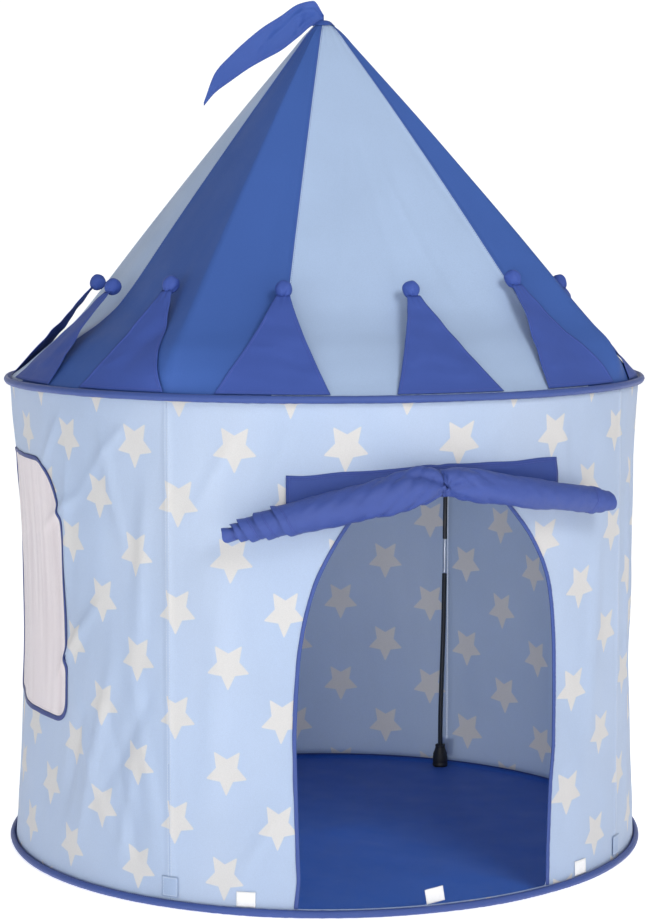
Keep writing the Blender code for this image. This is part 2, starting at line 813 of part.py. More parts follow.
def make_crown_point(number):
    """Cloth that lies along the roof and narrows to a stuffed knob."""
    azimuth = ROOF_TURN + number * CROWN_ANGLE
    low = EAVE_HEIGHT + HEM_HEIGHT / 2 + GAP + CLOTH / 2
    high = EAVE_HEIGHT + CROWN_RISE
    hinge_radius = roof_radius(azimuth, low) + CLOTH + CROWN_SEAT_CLEARANCE
    knob = KNOB_DIAMETER / 2
    nearest = roof_radius(azimuth, high)
    lean = math.atan2(hinge_radius - nearest, high - low)
    tip_radius = nearest + CROWN_LIFT + (knob * KNOB_TALL_SHARE + CROWN_CLEARANCE + CLOTH) / math.cos(lean)
    heights = [low, *(row[1] for row in roof_rows() if low + knob / 2 < row[1] < high - knob), high]
    rows = []
    for height in heights:
        share = (height - low) / (high - low)
        plain = hinge_radius + (tip_radius - hinge_radius) * share
        half = CROWN_NECK / 2 + (CROWN_WIDTH - CROWN_NECK) / 2 * (1 - share) ** CROWN_FLARE_POWER
        row = []
        for column in range(CROWN_COLUMNS + 1):
            across = (2 * column / CROWN_COLUMNS - 1) * half / plain
            from_rod = abs((azimuth + across) % PANEL_ANGLE - PANEL_ANGLE / 2)
            seated = CROWN_SEAT_CLEARANCE if from_rod > CROWN_RIDGE_ANGLE else CROWN_RIDGE_SEAT_CLEARANCE
            clearance = seated if height == low else CROWN_CLEARANCE
            seat = roof_radius(azimuth + across, height) + CLOTH + clearance
            row.append(polar(max(plain, seat), across, height) - polar(hinge_radius, 0, low))
        rows.append(row)
    name = f"crown_point_{number + 1:02d}"
    mesh = loft(name, rows)
    pivot = bpy.data.objects.new(f"{name}_fold", None)
    pivot.location = polar(hinge_radius, azimuth, low)
    place(pivot, turn=azimuth)
    point = place(bpy.data.objects.new(name, mesh), CROWN_CLOTH, parent=pivot)
    thicken(point, CLOTH)

    bpy.ops.mesh.primitive_uv_sphere_add(segments=8, ring_count=6, radius=knob)
    ball = bpy.context.object
    ball.name = f"{name}_knob"
    bpy.context.collection.objects.unlink(ball)
    make_cutter(ball)
    ball.parent = pivot
    ball.scale.z = KNOB_TALL_SHARE
    ball.location = polar(tip_radius, 0, high) - polar(hinge_radius, 0, low)
    ball.rotation_euler.x = -math.atan2(hinge_radius - tip_radius, high - low)
    cut(point, ball, "UNION")


# Door flap


def make_header(parent):
    """The flap's top strip, sewn along its upper edge over the arch."""
    lines = [a for a in panel_azimuths() if abs(a) < HEADER_HALF_ANGLE - FACET / 4]
    azimuths = [-HEADER_HALF_ANGLE, *lines, HEADER_HALF_ANGLE]
    seated = CLOTH + GAP
    low = HEADER_TOP - HEADER_HEIGHT
    rows = []
    for height, out in ((low, HEADER_STAND), (HEADER_TOP - HEADER_HEIGHT / 3, HEADER_STAND), (HEADER_TOP, seated)):
        row = []
        for azimuth in azimuths:
            radius = wall_radius(azimuth, height) + out
            row.append(polar(radius, azimuth, height) - parent.location)
        rows.append(row)
    header = place(bpy.data.objects.new("door_header", loft("door_header", rows)), DARK_CLOTH, parent=parent)
    thicken(header, CLOTH)


def roll_axis(distance):
    """The middle of the roll at a distance from the tie, and its direction: round the wall, then straight on."""
    radius = wall_radius(0, ROLL_MIDDLE_HEIGHT) + HEADER_STAND + CLOTH / 2 + GAP + ROLL_RADIUS * ROLL_FULLEST
    radius += WAIST_DEPTH * ROLL_STAND_SHARE
    limit = HEADER_HALF_ANGLE * radius
    bent = min(max(distance, -limit), limit)
    azimuth = bent / radius
    along = polar(1, azimuth + math.pi / 2, 0)
    length, droop = (ROLL_LEFT_LENGTH, ROLL_LEFT_DROOP) if distance < 0 else (ROLL_RIGHT_LENGTH, ROLL_RIGHT_DROOP)
    height = ROLL_MIDDLE_HEIGHT - droop * (abs(distance) / length) ** ROLL_DROOP_POWER
    return polar(radius, azimuth, height) + along * (distance - bent), along


def make_roll(parent):
    """The rolled cloth, drawn in by the tie, with each inner turn standing further out at the ends."""
    left = [(-share * ROLL_LEFT_LENGTH, radius) for share, radius in reversed(ROLL_LEFT_SHARES)]
    right = [(share * ROLL_RIGHT_LENGTH, radius) for share, radius in ROLL_RIGHT_SHARES]
    rows = []
    for distance, share in left + right:
        centre, along = roll_axis(distance)
        out = Vector((along.y, -along.x, 0))
        row = []
        for side in range(ROLL_SIDES):
            turn = side / ROLL_SIDES
            radius = share * ROLL_RADIUS * (1 - ROLL_EDGE_SHARE * turn)
            angle = 2 * math.pi * turn - ROLL_EDGE_TURN
            point = centre + out * radius * math.cos(angle) - Vector((0, 0, 1)) * radius * math.sin(angle)
            row.append(point - parent.location)
        rows.append(row)
    roll = bpy.data.objects.new("door_roll", loft("door_roll", rows, closed=True, capped=True))
    place(roll, DARK_CLOTH, parent=parent)


def make_tie(parent):
    """A ribbon from the header's seam down round the roll, knotted in front."""
    centre, _ = roll_axis(0)
    waist = ROLL_LEFT_SHARES[0][1] * ROLL_RADIUS
    steps = TIE_SIDES
    inner = (waist + GAP) / math.cos(math.pi / steps)
    outer = inner + TIE_THICKNESS
    out = -centre.y
    seam_out = wall_radius(0, HEADER_TOP) + CLOTH / 2 + GAP + CLOTH + GAP
    strap_top = HEADER_TOP - CLOTH
    ring = []
    for radius in (inner, outer):
        ring.append([
            (out + radius * math.cos(2 * math.pi * i / steps), centre.z + radius * math.sin(2 * math.pi * i / steps))
            for i in range(steps)
        ])
    curve = bpy.data.curves.new("door_tie", "CURVE")
    curve.dimensions = "2D"
    curve.fill_mode = "BOTH"
    curve.extrude = TIE_WIDTH / 2
    for outline in ring:
        add_outline(curve, outline)
    band = curve_to_mesh("door_tie", curve)
    strap_curve = bpy.data.curves.new("tie_strap", "CURVE")
    strap_curve.dimensions = "2D"
    strap_curve.fill_mode = "BOTH"
    strap_curve.extrude = TIE_WIDTH / 2 * STRAP_WIDTH_SHARE
    middle = (inner + outer) / 2
    base = (out - middle * math.sin(STRAP_LANDING), centre.z + middle * math.cos(STRAP_LANDING))
    add_outline(strap_curve, [
        (seam_out, strap_top),
        (seam_out, strap_top - 2 * TIE_THICKNESS),
        (base[0] - TIE_THICKNESS / 2, base[1] - TIE_THICKNESS / 3),
        (base[0] + TIE_THICKNESS / 2, base[1] + TIE_THICKNESS / 3),
        (seam_out + TIE_THICKNESS, strap_top),
    ])
    strap = curve_to_mesh("tie_strap", strap_curve)
    upright = Matrix(((0, 0, 1), (-1, 0, 0), (0, 1, 0))).to_euler()
    for obj in (band, strap):
        obj.rotation_euler = upright
        obj.location = -parent.location
        obj.parent = parent
    TENT.objects.link(band)
    band.data.materials.append(DARK_CLOTH)
    CUTTERS.objects.link(strap)
    strap.hide_render = True
    strap.display_type = "WIRE"
    cut(band, strap, "UNION")
    bpy.ops.mesh.primitive_uv_sphere_add(segments=10, ring_count=6, radius=KNOT_DIAMETER / 2)
    knot = bpy.context.object
    knot.name = "tie_knot"
    bpy.context.collection.objects.unlink(knot)
    make_cutter(knot)
    knot.parent = parent
    knot.scale = KNOT_SHARES
    reach = outer + KNOT_DIAMETER / 2 * KNOT_SHARES[1] - TIE_THICKNESS / 2
    knot.location = Vector((0, -out - reach, centre.z)) - parent.location
    cut(band, knot, "UNION")


def add_outline(curve, points):
    spline = curve.splines.new("POLY")
    spline.points.add(len(points) - 1)
    for point, (x, y) in zip(spline.points, points):
        point.co = (x, y, 0, 1)
    spline.use_cyclic_u = True


def curve_to_mesh(name, curve):
    """The curve's solid as a mesh object with its caps joined on."""
    source = bpy.data.objects.new(f"{name}_curve", curve)
    bpy.context.scene.collection.objects.link(source)
    graph = bpy.context.evaluated_depsgraph_get()
    mesh = bpy.data.meshes.new_from_object(source.evaluated_get(graph))
    bpy.data.objects.remove(source)
    obj = bpy.data.objects.new(name, mesh)
    weld(obj)
    return obj


def make_door_flap():
    pivot = bpy.data.objects.new("door_flap", None)
    pivot.location = polar(wall_radius(0, HEADER_TOP) + CLOTH + GAP, 0, HEADER_TOP)
    place(pivot)
    make_header(pivot)
    make_roll(pivot)
    make_tie(pivot)


# Small pieces


def make_patches():
    """Hook-and-loop tape: one square by each foot of the doorway and a tab that stands on the threshold."""
    low = HEM_TOP + GAP
    out = CLOTH / 2 + GAP + PATCH_THICKNESS / 2
    for name, azimuth in (("patch_left", -PATCH_AZIMUTH), ("patch_right", PATCH_AZIMUTH)):
        half = PATCH_WIDTH / 2 / WALL_RADIUS
        lines = [line for line in panel_azimuths() if abs(line - azimuth) < half]
        rows = []
        for height in (low, low + PATCH_HEIGHT):
            azimuths = [azimuth - half, *lines, azimuth + half]
            rows.append([polar(wall_radius(a, height) + out, a, height) for a in azimuths])
        patch = place(bpy.data.objects.new(name, loft(name, rows)), PATCH_WHITE)
        thicken(patch, PATCH_THICKNESS)
    bpy.ops.mesh.primitive_cube_add(size=1)
    tab = bpy.context.object
    tab.name = "patch_threshold"
    bpy.context.collection.objects.unlink(tab)
    tab.data.transform(Matrix.Diagonal((PATCH_WIDTH, PATCH_THICKNESS, PATCH_HEIGHT, 1)))
    tab.location = polar(WALL_RADIUS - PATCH_THICKNESS, 0, low + PATCH_HEIGHT / 2 + GAP)
    place(tab, PATCH_WHITE)


def make_flag():
    """A pennant that blows out from the peak and turns on a line through its root."""
    pivot = bpy.data.objects.new("flag_root", None)
    pivot.location = (0, 0, PEAK_CAP_TOP + CLOTH / 2 + GAP)
    place(pivot, turn=FLAG_AZIMUTH)
    rows = []
    for along, upper, lower in FLAG_SHARES:
        ripple = FLAG_RIPPLE * math.sin(2 * math.pi * along * FLAG_WAVES)
        heights = [-FLAG_DROP * (upper + part * (lower - upper)) for part in (0, 0.5, 1)]
        rows.append([(ripple, -along * FLAG_LENGTH, height) for height in heights])
    flag = place(bpy.data.objects.new("flag", loft("flag", rows)), FLAG_CLOTH, parent=pivot)
    thicken(flag, FLAG_THICKNESS)


for leftover in list(bpy.data.objects):
    bpy.data.objects.remove(leftover)

TENT = make_collection("play_tent")
CUTTERS = make_collection("cutters")
CUTTERS.hide_render = True

WALL_CLOTH = make_material("wall cloth", (0.46, 0.62, 0.86), 0.75)
LIGHT_CLOTH = make_material("light cloth", (0.42, 0.58, 0.80), 0.7)
DARK_CLOTH = make_material("dark cloth", (0.055, 0.10, 0.38), 0.65)
CROWN_CLOTH = make_material("crown cloth", (0.07, 0.11, 0.40), 0.65)
FLAG_CLOTH = make_material("flag cloth", (0.06, 0.12, 0.42), 0.6)
FLOOR_CLOTH = make_material("floor cloth", (0.04, 0.08, 0.36), 0.6)
NET_CLOTH = make_material("window mesh", (0.76, 0.70, 0.74), 0.8)
PATCH_WHITE = make_material("hook and loop", (0.9, 0.9, 0.9), 0.9)
SPRING_STEEL = make_material("spring steel", (0.35, 0.36, 0.38), 0.35, 1.0)
BRIGHT_STEEL = make_material("bright steel", (0.62, 0.66, 0.70), 0.3, 1.0)
ROD_BLACK = make_material("rod sheath", (0.02, 0.025, 0.03), 0.5)
BOOT_RUBBER = make_material("boot rubber", (0.015, 0.015, 0.018), 0.6)

ROLL_FULLEST = max(share for _, share in ROLL_LEFT_SHARES + ROLL_RIGHT_SHARES)
HEADER_STAND = CLOTH / 2 + BINDING_SLACK + BINDING_THICKNESS + GAP + CLOTH / 2

make_floor()
make_hem("base_hem", "base_hoop", BASE_SEAM_HEIGHT)
make_hem("eave_hem", "eave_hoop", EAVE_HEIGHT)
make_walls()
make_rods()
make_hub()
make_roof()
make_peak_cap()
for crown_number in range(CROWN_POINTS):
    make_crown_point(crown_number)
make_door_flap()
make_patches()
make_flag()
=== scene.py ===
"""A round play tent like a castle tower: its cloth, tape, stitching, rods and light.

Sizes are in metres, +Z is up and the tent stands on z = 0. Azimuth is measured about +Z from the middle of the
doorway, which faces -Y, towards +X.
"""

from math import asin, atan2, cos, hypot, pi, radians, sin, sqrt

import bpy
import numpy as np
from mathutils import Matrix, Vector


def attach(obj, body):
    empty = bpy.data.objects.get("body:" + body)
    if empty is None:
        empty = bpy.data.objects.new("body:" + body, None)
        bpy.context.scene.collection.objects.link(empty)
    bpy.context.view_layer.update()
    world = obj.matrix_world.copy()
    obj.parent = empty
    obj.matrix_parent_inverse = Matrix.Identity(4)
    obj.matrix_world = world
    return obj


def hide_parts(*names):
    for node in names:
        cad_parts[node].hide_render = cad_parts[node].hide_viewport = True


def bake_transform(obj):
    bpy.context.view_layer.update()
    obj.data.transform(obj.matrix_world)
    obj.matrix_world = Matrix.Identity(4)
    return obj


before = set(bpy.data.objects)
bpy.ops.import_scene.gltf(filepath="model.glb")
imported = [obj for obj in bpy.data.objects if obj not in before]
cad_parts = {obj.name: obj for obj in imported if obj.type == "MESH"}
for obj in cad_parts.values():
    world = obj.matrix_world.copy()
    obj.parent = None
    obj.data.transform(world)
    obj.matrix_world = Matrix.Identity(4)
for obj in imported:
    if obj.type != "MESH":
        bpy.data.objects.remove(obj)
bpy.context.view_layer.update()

TAU = 2 * pi
UP = np.array([0, 0, 1.0])

# Sizes that the tent's source also has
CLOTH = 0.0008
TAPE = 0.0006
GAP = 0.0003
WALL_RADIUS = 0.4995
BASE_SEAM_HEIGHT = 0.006
EAVE_HEIGHT = 0.7395
WAIST_DEPTH = 0.019
SEAM_TAIL = 0.004
HEM_WIDTH = 0.0092
HEM_HEIGHT = 0.0112
DOOR_WIDTH = 0.400
DOOR_SPRING_HEIGHT = 0.300
DOOR_ARCH_RISE = 0.325
BINDING_LEG = 0.005
BINDING_THICKNESS = 0.0005
BINDING_SLACK = 0.0006
WINDOW_WIDTH = 0.316
WINDOW_SILL = 0.238
WINDOW_HEIGHT = 0.389
WINDOW_TOP_ROUND = 0.078
WINDOW_BOTTOM_ROUND = 0.026
ROD_RADIUS = 0.0042
FERRULE_RADIUS = 0.0034
FERRULE_LENGTH = 0.063
SECTION_LENGTH = 0.375
ROD_LEAN = 0.021
ROD_LEG_SHARES = ((0.0, 1.0), (0.065, 1.0), (0.38, 0.36), (0.68, 0.08), (0.9, 0.0), (1.0, 0.0))
ROD_ROOF_SHARES = ((1.003, 0.045), (0.978, 0.103), (0.918, 0.158), (0.865, 0.208), (0.772, 0.298), (0.6546, 0.412),
                   (0.3475, 0.699), (0.105, 0.917), (0.054, 0.962))
ROOF_RISE = 0.5595
ROOF_TURN = radians(3)
PEAK_RADIUS = 0.006
RIDGE_SHARE = 1.22
ROOF_ROUNDNESS_SHARE = 0.26
ROOF_FLARE_SHARE = 0.26
PEAK_CAP_DEPTH = 0.014
CROWN_WIDTH = 0.165
CROWN_NECK = 0.015
CROWN_RISE = 0.147
CROWN_LIFT = 0.001
CROWN_FLARE_POWER = 1.2
CROWN_CLEARANCE = 0.0031
CROWN_SEAT_CLEARANCE = 0.0010
KNOB_DIAMETER = 0.026
KNOB_TALL_SHARE = 1.08
HEADER_MARGIN = 0.006
HEADER_RISE = 0.020
HEADER_HEIGHT = 0.046
ROLL_RADIUS = 0.0235
ROLL_FULLEST = 1.04
ROLL_HANG = 0.033
ROLL_LEFT_DROOP = 0.062
ROLL_RIGHT_DROOP = 0.037
ROLL_LEFT_LENGTH = 0.313
ROLL_RIGHT_LENGTH = 0.311
ROLL_DROOP_POWER = 1.4
ROLL_STAND_SHARE = 0.3
PATCH_WIDTH = 0.028
PATCH_HEIGHT = 0.022
PATCH_THICKNESS = 0.001
PATCH_AZIMUTH = radians(31.5)
FLAG_AZIMUTH = radians(-106)
FLAG_LENGTH = 0.190
FLAG_DROP = 0.148
FLAG_RIPPLE = 0.004
FLAG_WAVES = 1.3
FLAG_SHARES = ((0.0, -0.05, 0.03), (0.086, -0.2, 0.055), (0.205, -0.168, 0.175), (0.36, -0.04, 0.325),
               (0.5, 0.07, 0.42), (0.62, 0.19, 0.507), (0.78, 0.38, 0.65), (0.905, 0.56, 0.77), (1.0, 0.87, 0.91))

QUARTER = pi / 2
SEAM_OFFSET = (TAPE + GAP) / 2 + TAPE / 2 + GAP + CLOTH / 2
WALL_LOW = BASE_SEAM_HEIGHT + SEAM_OFFSET
WALL_HIGH = EAVE_HEIGHT - SEAM_OFFSET
TAIL_RADIUS = WALL_RADIUS - SEAM_TAIL
HEM_INNER = WALL_RADIUS + CLOTH / 2 + GAP + TAPE / 2
HEM_OUTER = HEM_INNER + HEM_WIDTH - TAPE
HEM_TOP = BASE_SEAM_HEIGHT + HEM_HEIGHT / 2
ROD_EAVE_RADIUS = TAIL_RADIUS - GAP - ROD_RADIUS
HEADER_HALF_ANGLE = asin((DOOR_WIDTH / 2 + HEADER_MARGIN) / WALL_RADIUS)
HEADER_TOP = DOOR_SPRING_HEIGHT + DOOR_ARCH_RISE + HEADER_RISE
HEADER_STAND = CLOTH / 2 + BINDING_SLACK + BINDING_THICKNESS + GAP + CLOTH / 2
ROLL_MIDDLE_HEIGHT = HEADER_TOP - ROLL_HANG
# The sewn edge of the flap stays on the wall: the cloth turns over between these two points
FLAP_TURN = ((0.0, -0.4934, HEADER_TOP), (0.0, -0.4934, HEADER_TOP - 0.028))
PEAK_CAP_TOP = EAVE_HEIGHT + ROOF_RISE + CLOTH + 2 * GAP
PEAK_HEIGHT = EAVE_HEIGHT + ROOF_RISE


# Numbers and shapes


def polar(radius, azimuth, height):
    radius, azimuth, height = np.broadcast_arrays(radius, azimuth, height)
    return np.stack([radius * np.sin(azimuth), -radius * np.cos(azimuth), height], -1)


def ramp(value, start, end):
    """From 0 at start to 1 at end, level at both."""
    share = np.clip((value - start) / (end - start), 0, 1)
    return share * share * (3 - 2 * share)


def ripple(u, v, size, seed, count=14):
    """Soft unevenness, mostly between -1 and 1, with features of about a size. It is the same on every run."""
    chance = np.random.default_rng(seed)
    total = 0.0
    for _ in range(count):
        angle, phase = chance.uniform(0, TAU, 2)
        wave = size * chance.uniform(0.7, 1.8)
        total = total + np.sin(TAU * (u * cos(angle) + v * sin(angle)) / wave + phase)
    return total * 1.1 / sqrt(count)


def ridges(u, v, lines):
    """Soft folds, each from (u, v) to (u, v) with a width and a height."""
    total = 0.0
    for u0, v0, u1, v1, width, height in lines:
        length = hypot(u1 - u0, v1 - v0)
        along = ((u - u0) * (u1 - u0) + (v - v0) * (v1 - v0)) / length**2
        across = ((u - u0) * (v1 - v0) - (v - v0) * (u1 - u0)) / length
        fade = np.exp(-(((along - 0.5) / 0.42) ** 4))
        total = total + height * np.exp(-((across / width) ** 2)) * fade
    return total


def smooth_table(table, value):
    """The columns after a table's first, on smooth curves that don't swing past the table's own points."""
    table = np.array(table, float)
    value = np.asarray(value, float)
    x, y = table[:, 0], table[:, 1:]
    step = np.diff(x)
    slope = np.diff(y, axis=0) / step[:, None]
    turn = np.zeros_like(y)
    product = slope[:-1] * slope[1:]
    total = slope[:-1] + slope[1:]
    turn[1:-1] = np.where(product > 0, 2 * product / np.where(total == 0, 1, total), 0)
    turn[0], turn[-1] = slope[0], slope[-1]
    index = np.clip(np.searchsorted(x, value) - 1, 0, len(x) - 2)
    f = np.clip((value - x[index]) / step[index], 0, 1)[..., None]
    h = step[index][..., None]
    return (
        (2 * f**3 - 3 * f**2 + 1) * y[index]
        + (f**3 - 2 * f**2 + f) * h * turn[index]
        + (3 * f**2 - 2 * f**3) * y[index + 1]
        + (f**3 - f**2) * h * turn[index + 1]
    )


def make_piece(name, points, faces, material, uv=None):
    """An object from points and faces, with smooth shading and one (u, v) for each point."""
    mesh = bpy.data.meshes.new(name)
    mesh.from_pydata(np.asarray(points, float).reshape(-1, 3).tolist(), [], [list(map(int, f)) for f in faces])
    mesh.materials.append(material)
    mesh.shade_smooth()
    if uv is not None:
        layer = mesh.uv_layers.new(name="cloth")
        corner = np.zeros(len(mesh.loops), np.int32)
        mesh.loops.foreach_get("vertex_index", corner)
        layer.data.foreach_set("uv", np.asarray(uv, np.float32).reshape(-1, 2)[corner].ravel())
    mesh.validate()
    obj = bpy.data.objects.new(name, mesh)
    bpy.context.scene.collection.objects.link(obj)
    return obj


def grid_faces(rows, columns, round_u=False, round_v=False):
    """Quads over rows by columns of points. round_u joins the last column to the first, round_v the last row."""
    index = np.arange(rows * columns).reshape(rows, columns)
    if round_u:
        index = np.concatenate([index, index[:, :1]], 1)
    if round_v:
        index = np.concatenate([index, index[:1]], 0)
    return np.stack([index[:-1, :-1], index[:-1, 1:], index[1:, 1:], index[1:, :-1]], -1).reshape(-1, 4)


def grid_piece(name, points, material, uv=None, keep=None, **rounds):
    """A piece from a grid of points, without the faces that keep leaves out."""
    rows, columns = points.shape[:2]
    faces = grid_faces(rows, columns, **rounds)
    points = points.reshape(-1, 3)
    uv = None if uv is None else uv.reshape(-1, 2)
    if keep is not None:
        faces = faces[keep.reshape(-1)]
        used, faces = np.unique(faces, return_inverse=True)
        faces = faces.reshape(-1, 4)
        points = points[used]
        uv = None if uv is None else uv[used]
    return make_piece(name, points, faces, material, uv)


def settle(obj, slot=None, node=None, body="tent", turn=None, thickness=None, **sheet):
    """Gives a piece its thickness, fixes it to its body and hides the model's node that it stands for. With a turn the
    piece instead stays where it is and doesn't follow its body. slot, the turn's points and the sheet are not used."""
    if thickness:
        modifier = obj.modifiers.new("thickness", "SOLIDIFY")
        modifier.thickness = thickness
        modifier.offset = 0
    if turn:
        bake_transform(obj)
    else:
        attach(obj, body)
    if node:
        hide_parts(node)


def surface_normals(points):
    """Unit normals of a grid of points."""
    return unit(np.cross(np.gradient(points, axis=1), np.gradient(points, axis=0)))


def unit(vectors):
    return vectors / np.maximum(np.linalg.norm(vectors, axis=-1, keepdims=True), 1e-12)


def distances(points):
    """How far along a line of points each of them is."""
    return np.concatenate([[0], np.cumsum(np.linalg.norm(np.diff(points, axis=0), axis=1))])


def resample(points, pitch):
    """Points every pitch along a line of points."""
    gone = distances(points)
    count = max(int(gone[-1] / pitch), 1)
    marks = (np.arange(count) + 0.5) * gone[-1] / count
    return np.stack([np.interp(marks, gone, points[:, i]) for i in range(points.shape[1])], 1)


def ring(centre, radius, angle, azimuth):
    """Points at angles round each of a line's points, the first of them outward."""
    out, side = polar(1.0, azimuth, 0.0), polar(1.0, azimuth + QUARTER, 0.0)
    return centre[:, None] + radius[..., None] * (out * np.cos(angle)[:, None] + side * np.sin(angle)[:, None])


def closed_faces(rings, sides):
    """Faces of a round piece with both ends closed."""
    ends = [tuple(reversed(range(sides))), tuple(range((rings - 1) * sides, rings * sides))]
    return [tuple(f) for f in grid_faces(rings, sides, round_u=True)] + ends


def plane(first, second):
    """A (u, v) for each point of a grid."""
    return np.stack(np.broadcast_arrays(first, second), -1)


THREAD_LENGTH = 0.0029
THREAD_PITCH = 0.0041
THREAD_THICKNESS = 0.0005


def make_stitches(name, runs, material, seed=1, **settled):
    """Short raised threads along runs of (points, outward directions)."""
    chance = np.random.default_rng(seed)
    stations = np.array([(-0.5, 0.25), (-0.34, 1.0), (0.34, 1.0), (0.5, 0.25)])
    sides = 5
    angle = TAU * np.arange(sides) / sides
    all_points, all_faces, start = [], [], 0
    faces = grid_faces(len(stations), sides, round_u=True)
    for points, outward in runs:
        both = resample(np.concatenate([points, outward], 1), THREAD_PITCH)
        middle, normal = both[:, :3], unit(both[:, 3:])
        if len(middle) < 2:
            continue
        along = unit(np.gradient(middle, axis=0))
        across = unit(np.cross(along, normal))
        along = unit(along + across * chance.normal(0, 0.05, (len(middle), 1)))
        length = THREAD_LENGTH * chance.uniform(0.9, 1.08, len(middle))
        for index in range(len(middle)):
            centre = middle[index] + normal[index] * THREAD_THICKNESS * 0.12
            round_thread = across[index] * np.cos(angle)[:, None] + normal[index] * np.sin(angle)[:, None]
            all_points += [centre + along[index] * place * length[index] + round_thread * thick * THREAD_THICKNESS / 2
                           for place, thick in stations]
            all_faces.append(faces + start)
            start += len(stations) * sides
    threads = make_piece(name, np.concatenate(all_points), np.concatenate(all_faces), material)
    settle(threads, **settled)


# Materials


class Nodes:
    """A tree of nodes, with short calls that add to it."""

    def __init__(self, tree):
        self.tree = tree

    def put(self, socket, value):
        if isinstance(value, bpy.types.NodeSocket):
            self.tree.links.new(value, socket)
        elif isinstance(value, tuple) and socket.type == "RGBA":
            socket.default_value = (*value, 1.0)
        else:
            socket.default_value = value

    def add(self, kind, inputs, output=0, **settings):
        node = self.tree.nodes.new(f"ShaderNode{kind}")
        for key, value in settings.items():
            setattr(node, key, value)
        for socket, value in inputs.items():
            self.put(node.inputs[socket], value)
        return node.outputs[output]

    def calc(self, operation, *values):
        return self.add("Math", dict(enumerate(values)), operation=operation)

    def axes(self, place):
        return [self.add("SeparateXYZ", {0: place}, axis) for axis in (0, 1)]

    def noise(self, place, scale, detail=2.0, stretch=None):
        if stretch:
            place = self.add("Mapping", {"Vector": place, "Scale": stretch})
        return self.add("TexNoise", {"Vector": place, "Scale": scale, "Detail": detail})

    def spread(self, value, low, high, start=0.3, end=0.7, **settings):
        """Makes a value of start to end, as a noise has, run from low to high."""
        return self.add("MapRange", {0: value, 1: start, 2: end, 3: low, 4: high}, **settings)

    def mix(self, factor, first, second, blend_type="MIX"):
        return self.add("Mix", {0: factor, 6: first, 7: second}, 2, data_type="RGBA", blend_type=blend_type)

    def bump(self, height, distance, before=None):
        inputs = {"Height": height, "Distance": distance, "Strength": 1.0}
        if before:
            inputs["Normal"] = before
        return self.add("Bump", inputs)


class Material(Nodes):
    def __init__(self, name):
        self.data = bpy.data.materials.new(name)
        self.data.use_nodes = True
        super().__init__(self.data.node_tree)
        self.shader = self.tree.nodes["Principled BSDF"]

    def dress(self, **values):
        for name, value in values.items():
            self.put(self.shader.inputs[name.replace("_", " ")], value)

    def end_with(self, output):
        self.put(self.tree.nodes["Material Output"].inputs["Surface"], output)


STAR_ROW = 0.0765
STAR_TOP_ROW = 0.675
STAR_RADIUS = 0.0330
STAR_NOTCH_SHARE = 0.50
STAR_TALL_SHARE = 1.10
STAR_BLUNT_SHARE = 0.955
STAR_POINT_ROUND = 0.002
STAR_EDGE = 0.0006
STAR_WHITE = (0.685, 0.67, 0.66)
# Whitish colour of the painted sheen: soft streaks in the walls' colour that stand in for the satin's highlights
PAINTED_SHEEN = (0.66, 0.70, 0.78)


def star_mask(nodes, place, pitch):
    """1 on the print's stars, one point down, in rows set half a pitch over in turn. place is in metres of cloth."""
    calc = nodes.calc
    u, v = nodes.axes(place)
    row = calc("ROUND", calc("DIVIDE", calc("SUBTRACT", v, STAR_TOP_ROW), STAR_ROW))
    x = calc("SUBTRACT", u, calc("MULTIPLY", calc("FLOORED_MODULO", row, 2.0), pitch / 2))
    x = calc("WRAP", x, pitch / 2, -pitch / 2)
    z = calc("DIVIDE", calc("SUBTRACT", v, calc("MULTIPLY_ADD", row, STAR_ROW, STAR_TOP_ROW)), STAR_TALL_SHARE)
    fifth = TAU / 5
    angle = calc("ARCTAN2", x, calc("MULTIPLY", z, -1.0))
    folded = calc("ABSOLUTE", calc("WRAP", angle, fifth / 2, -fifth / 2))
    radius = calc("SQRT", calc("ADD", calc("MULTIPLY", x, x), calc("MULTIPLY", z, z)))
    notch = STAR_RADIUS * STAR_NOTCH_SHARE
    run = Vector((notch * sin(fifth / 2), STAR_RADIUS - notch * cos(fifth / 2))).normalized()
    across = calc("SUBTRACT", calc("MULTIPLY", radius, calc("COSINE", folded)), STAR_RADIUS)
    up = calc("MULTIPLY", radius, calc("SINE", folded))
    line = calc("ADD", calc("MULTIPLY", across, run.x), calc("MULTIPLY", up, run.y))
    blunt = calc("SUBTRACT", radius, STAR_RADIUS * STAR_BLUNT_SHARE)
    outside = calc("SMOOTH_MAX", line, blunt, STAR_POINT_ROUND)
    return nodes.spread(outside, 1.0, 0.0, -STAR_EDGE, STAR_EDGE, interpolation_type="SMOOTHSTEP")


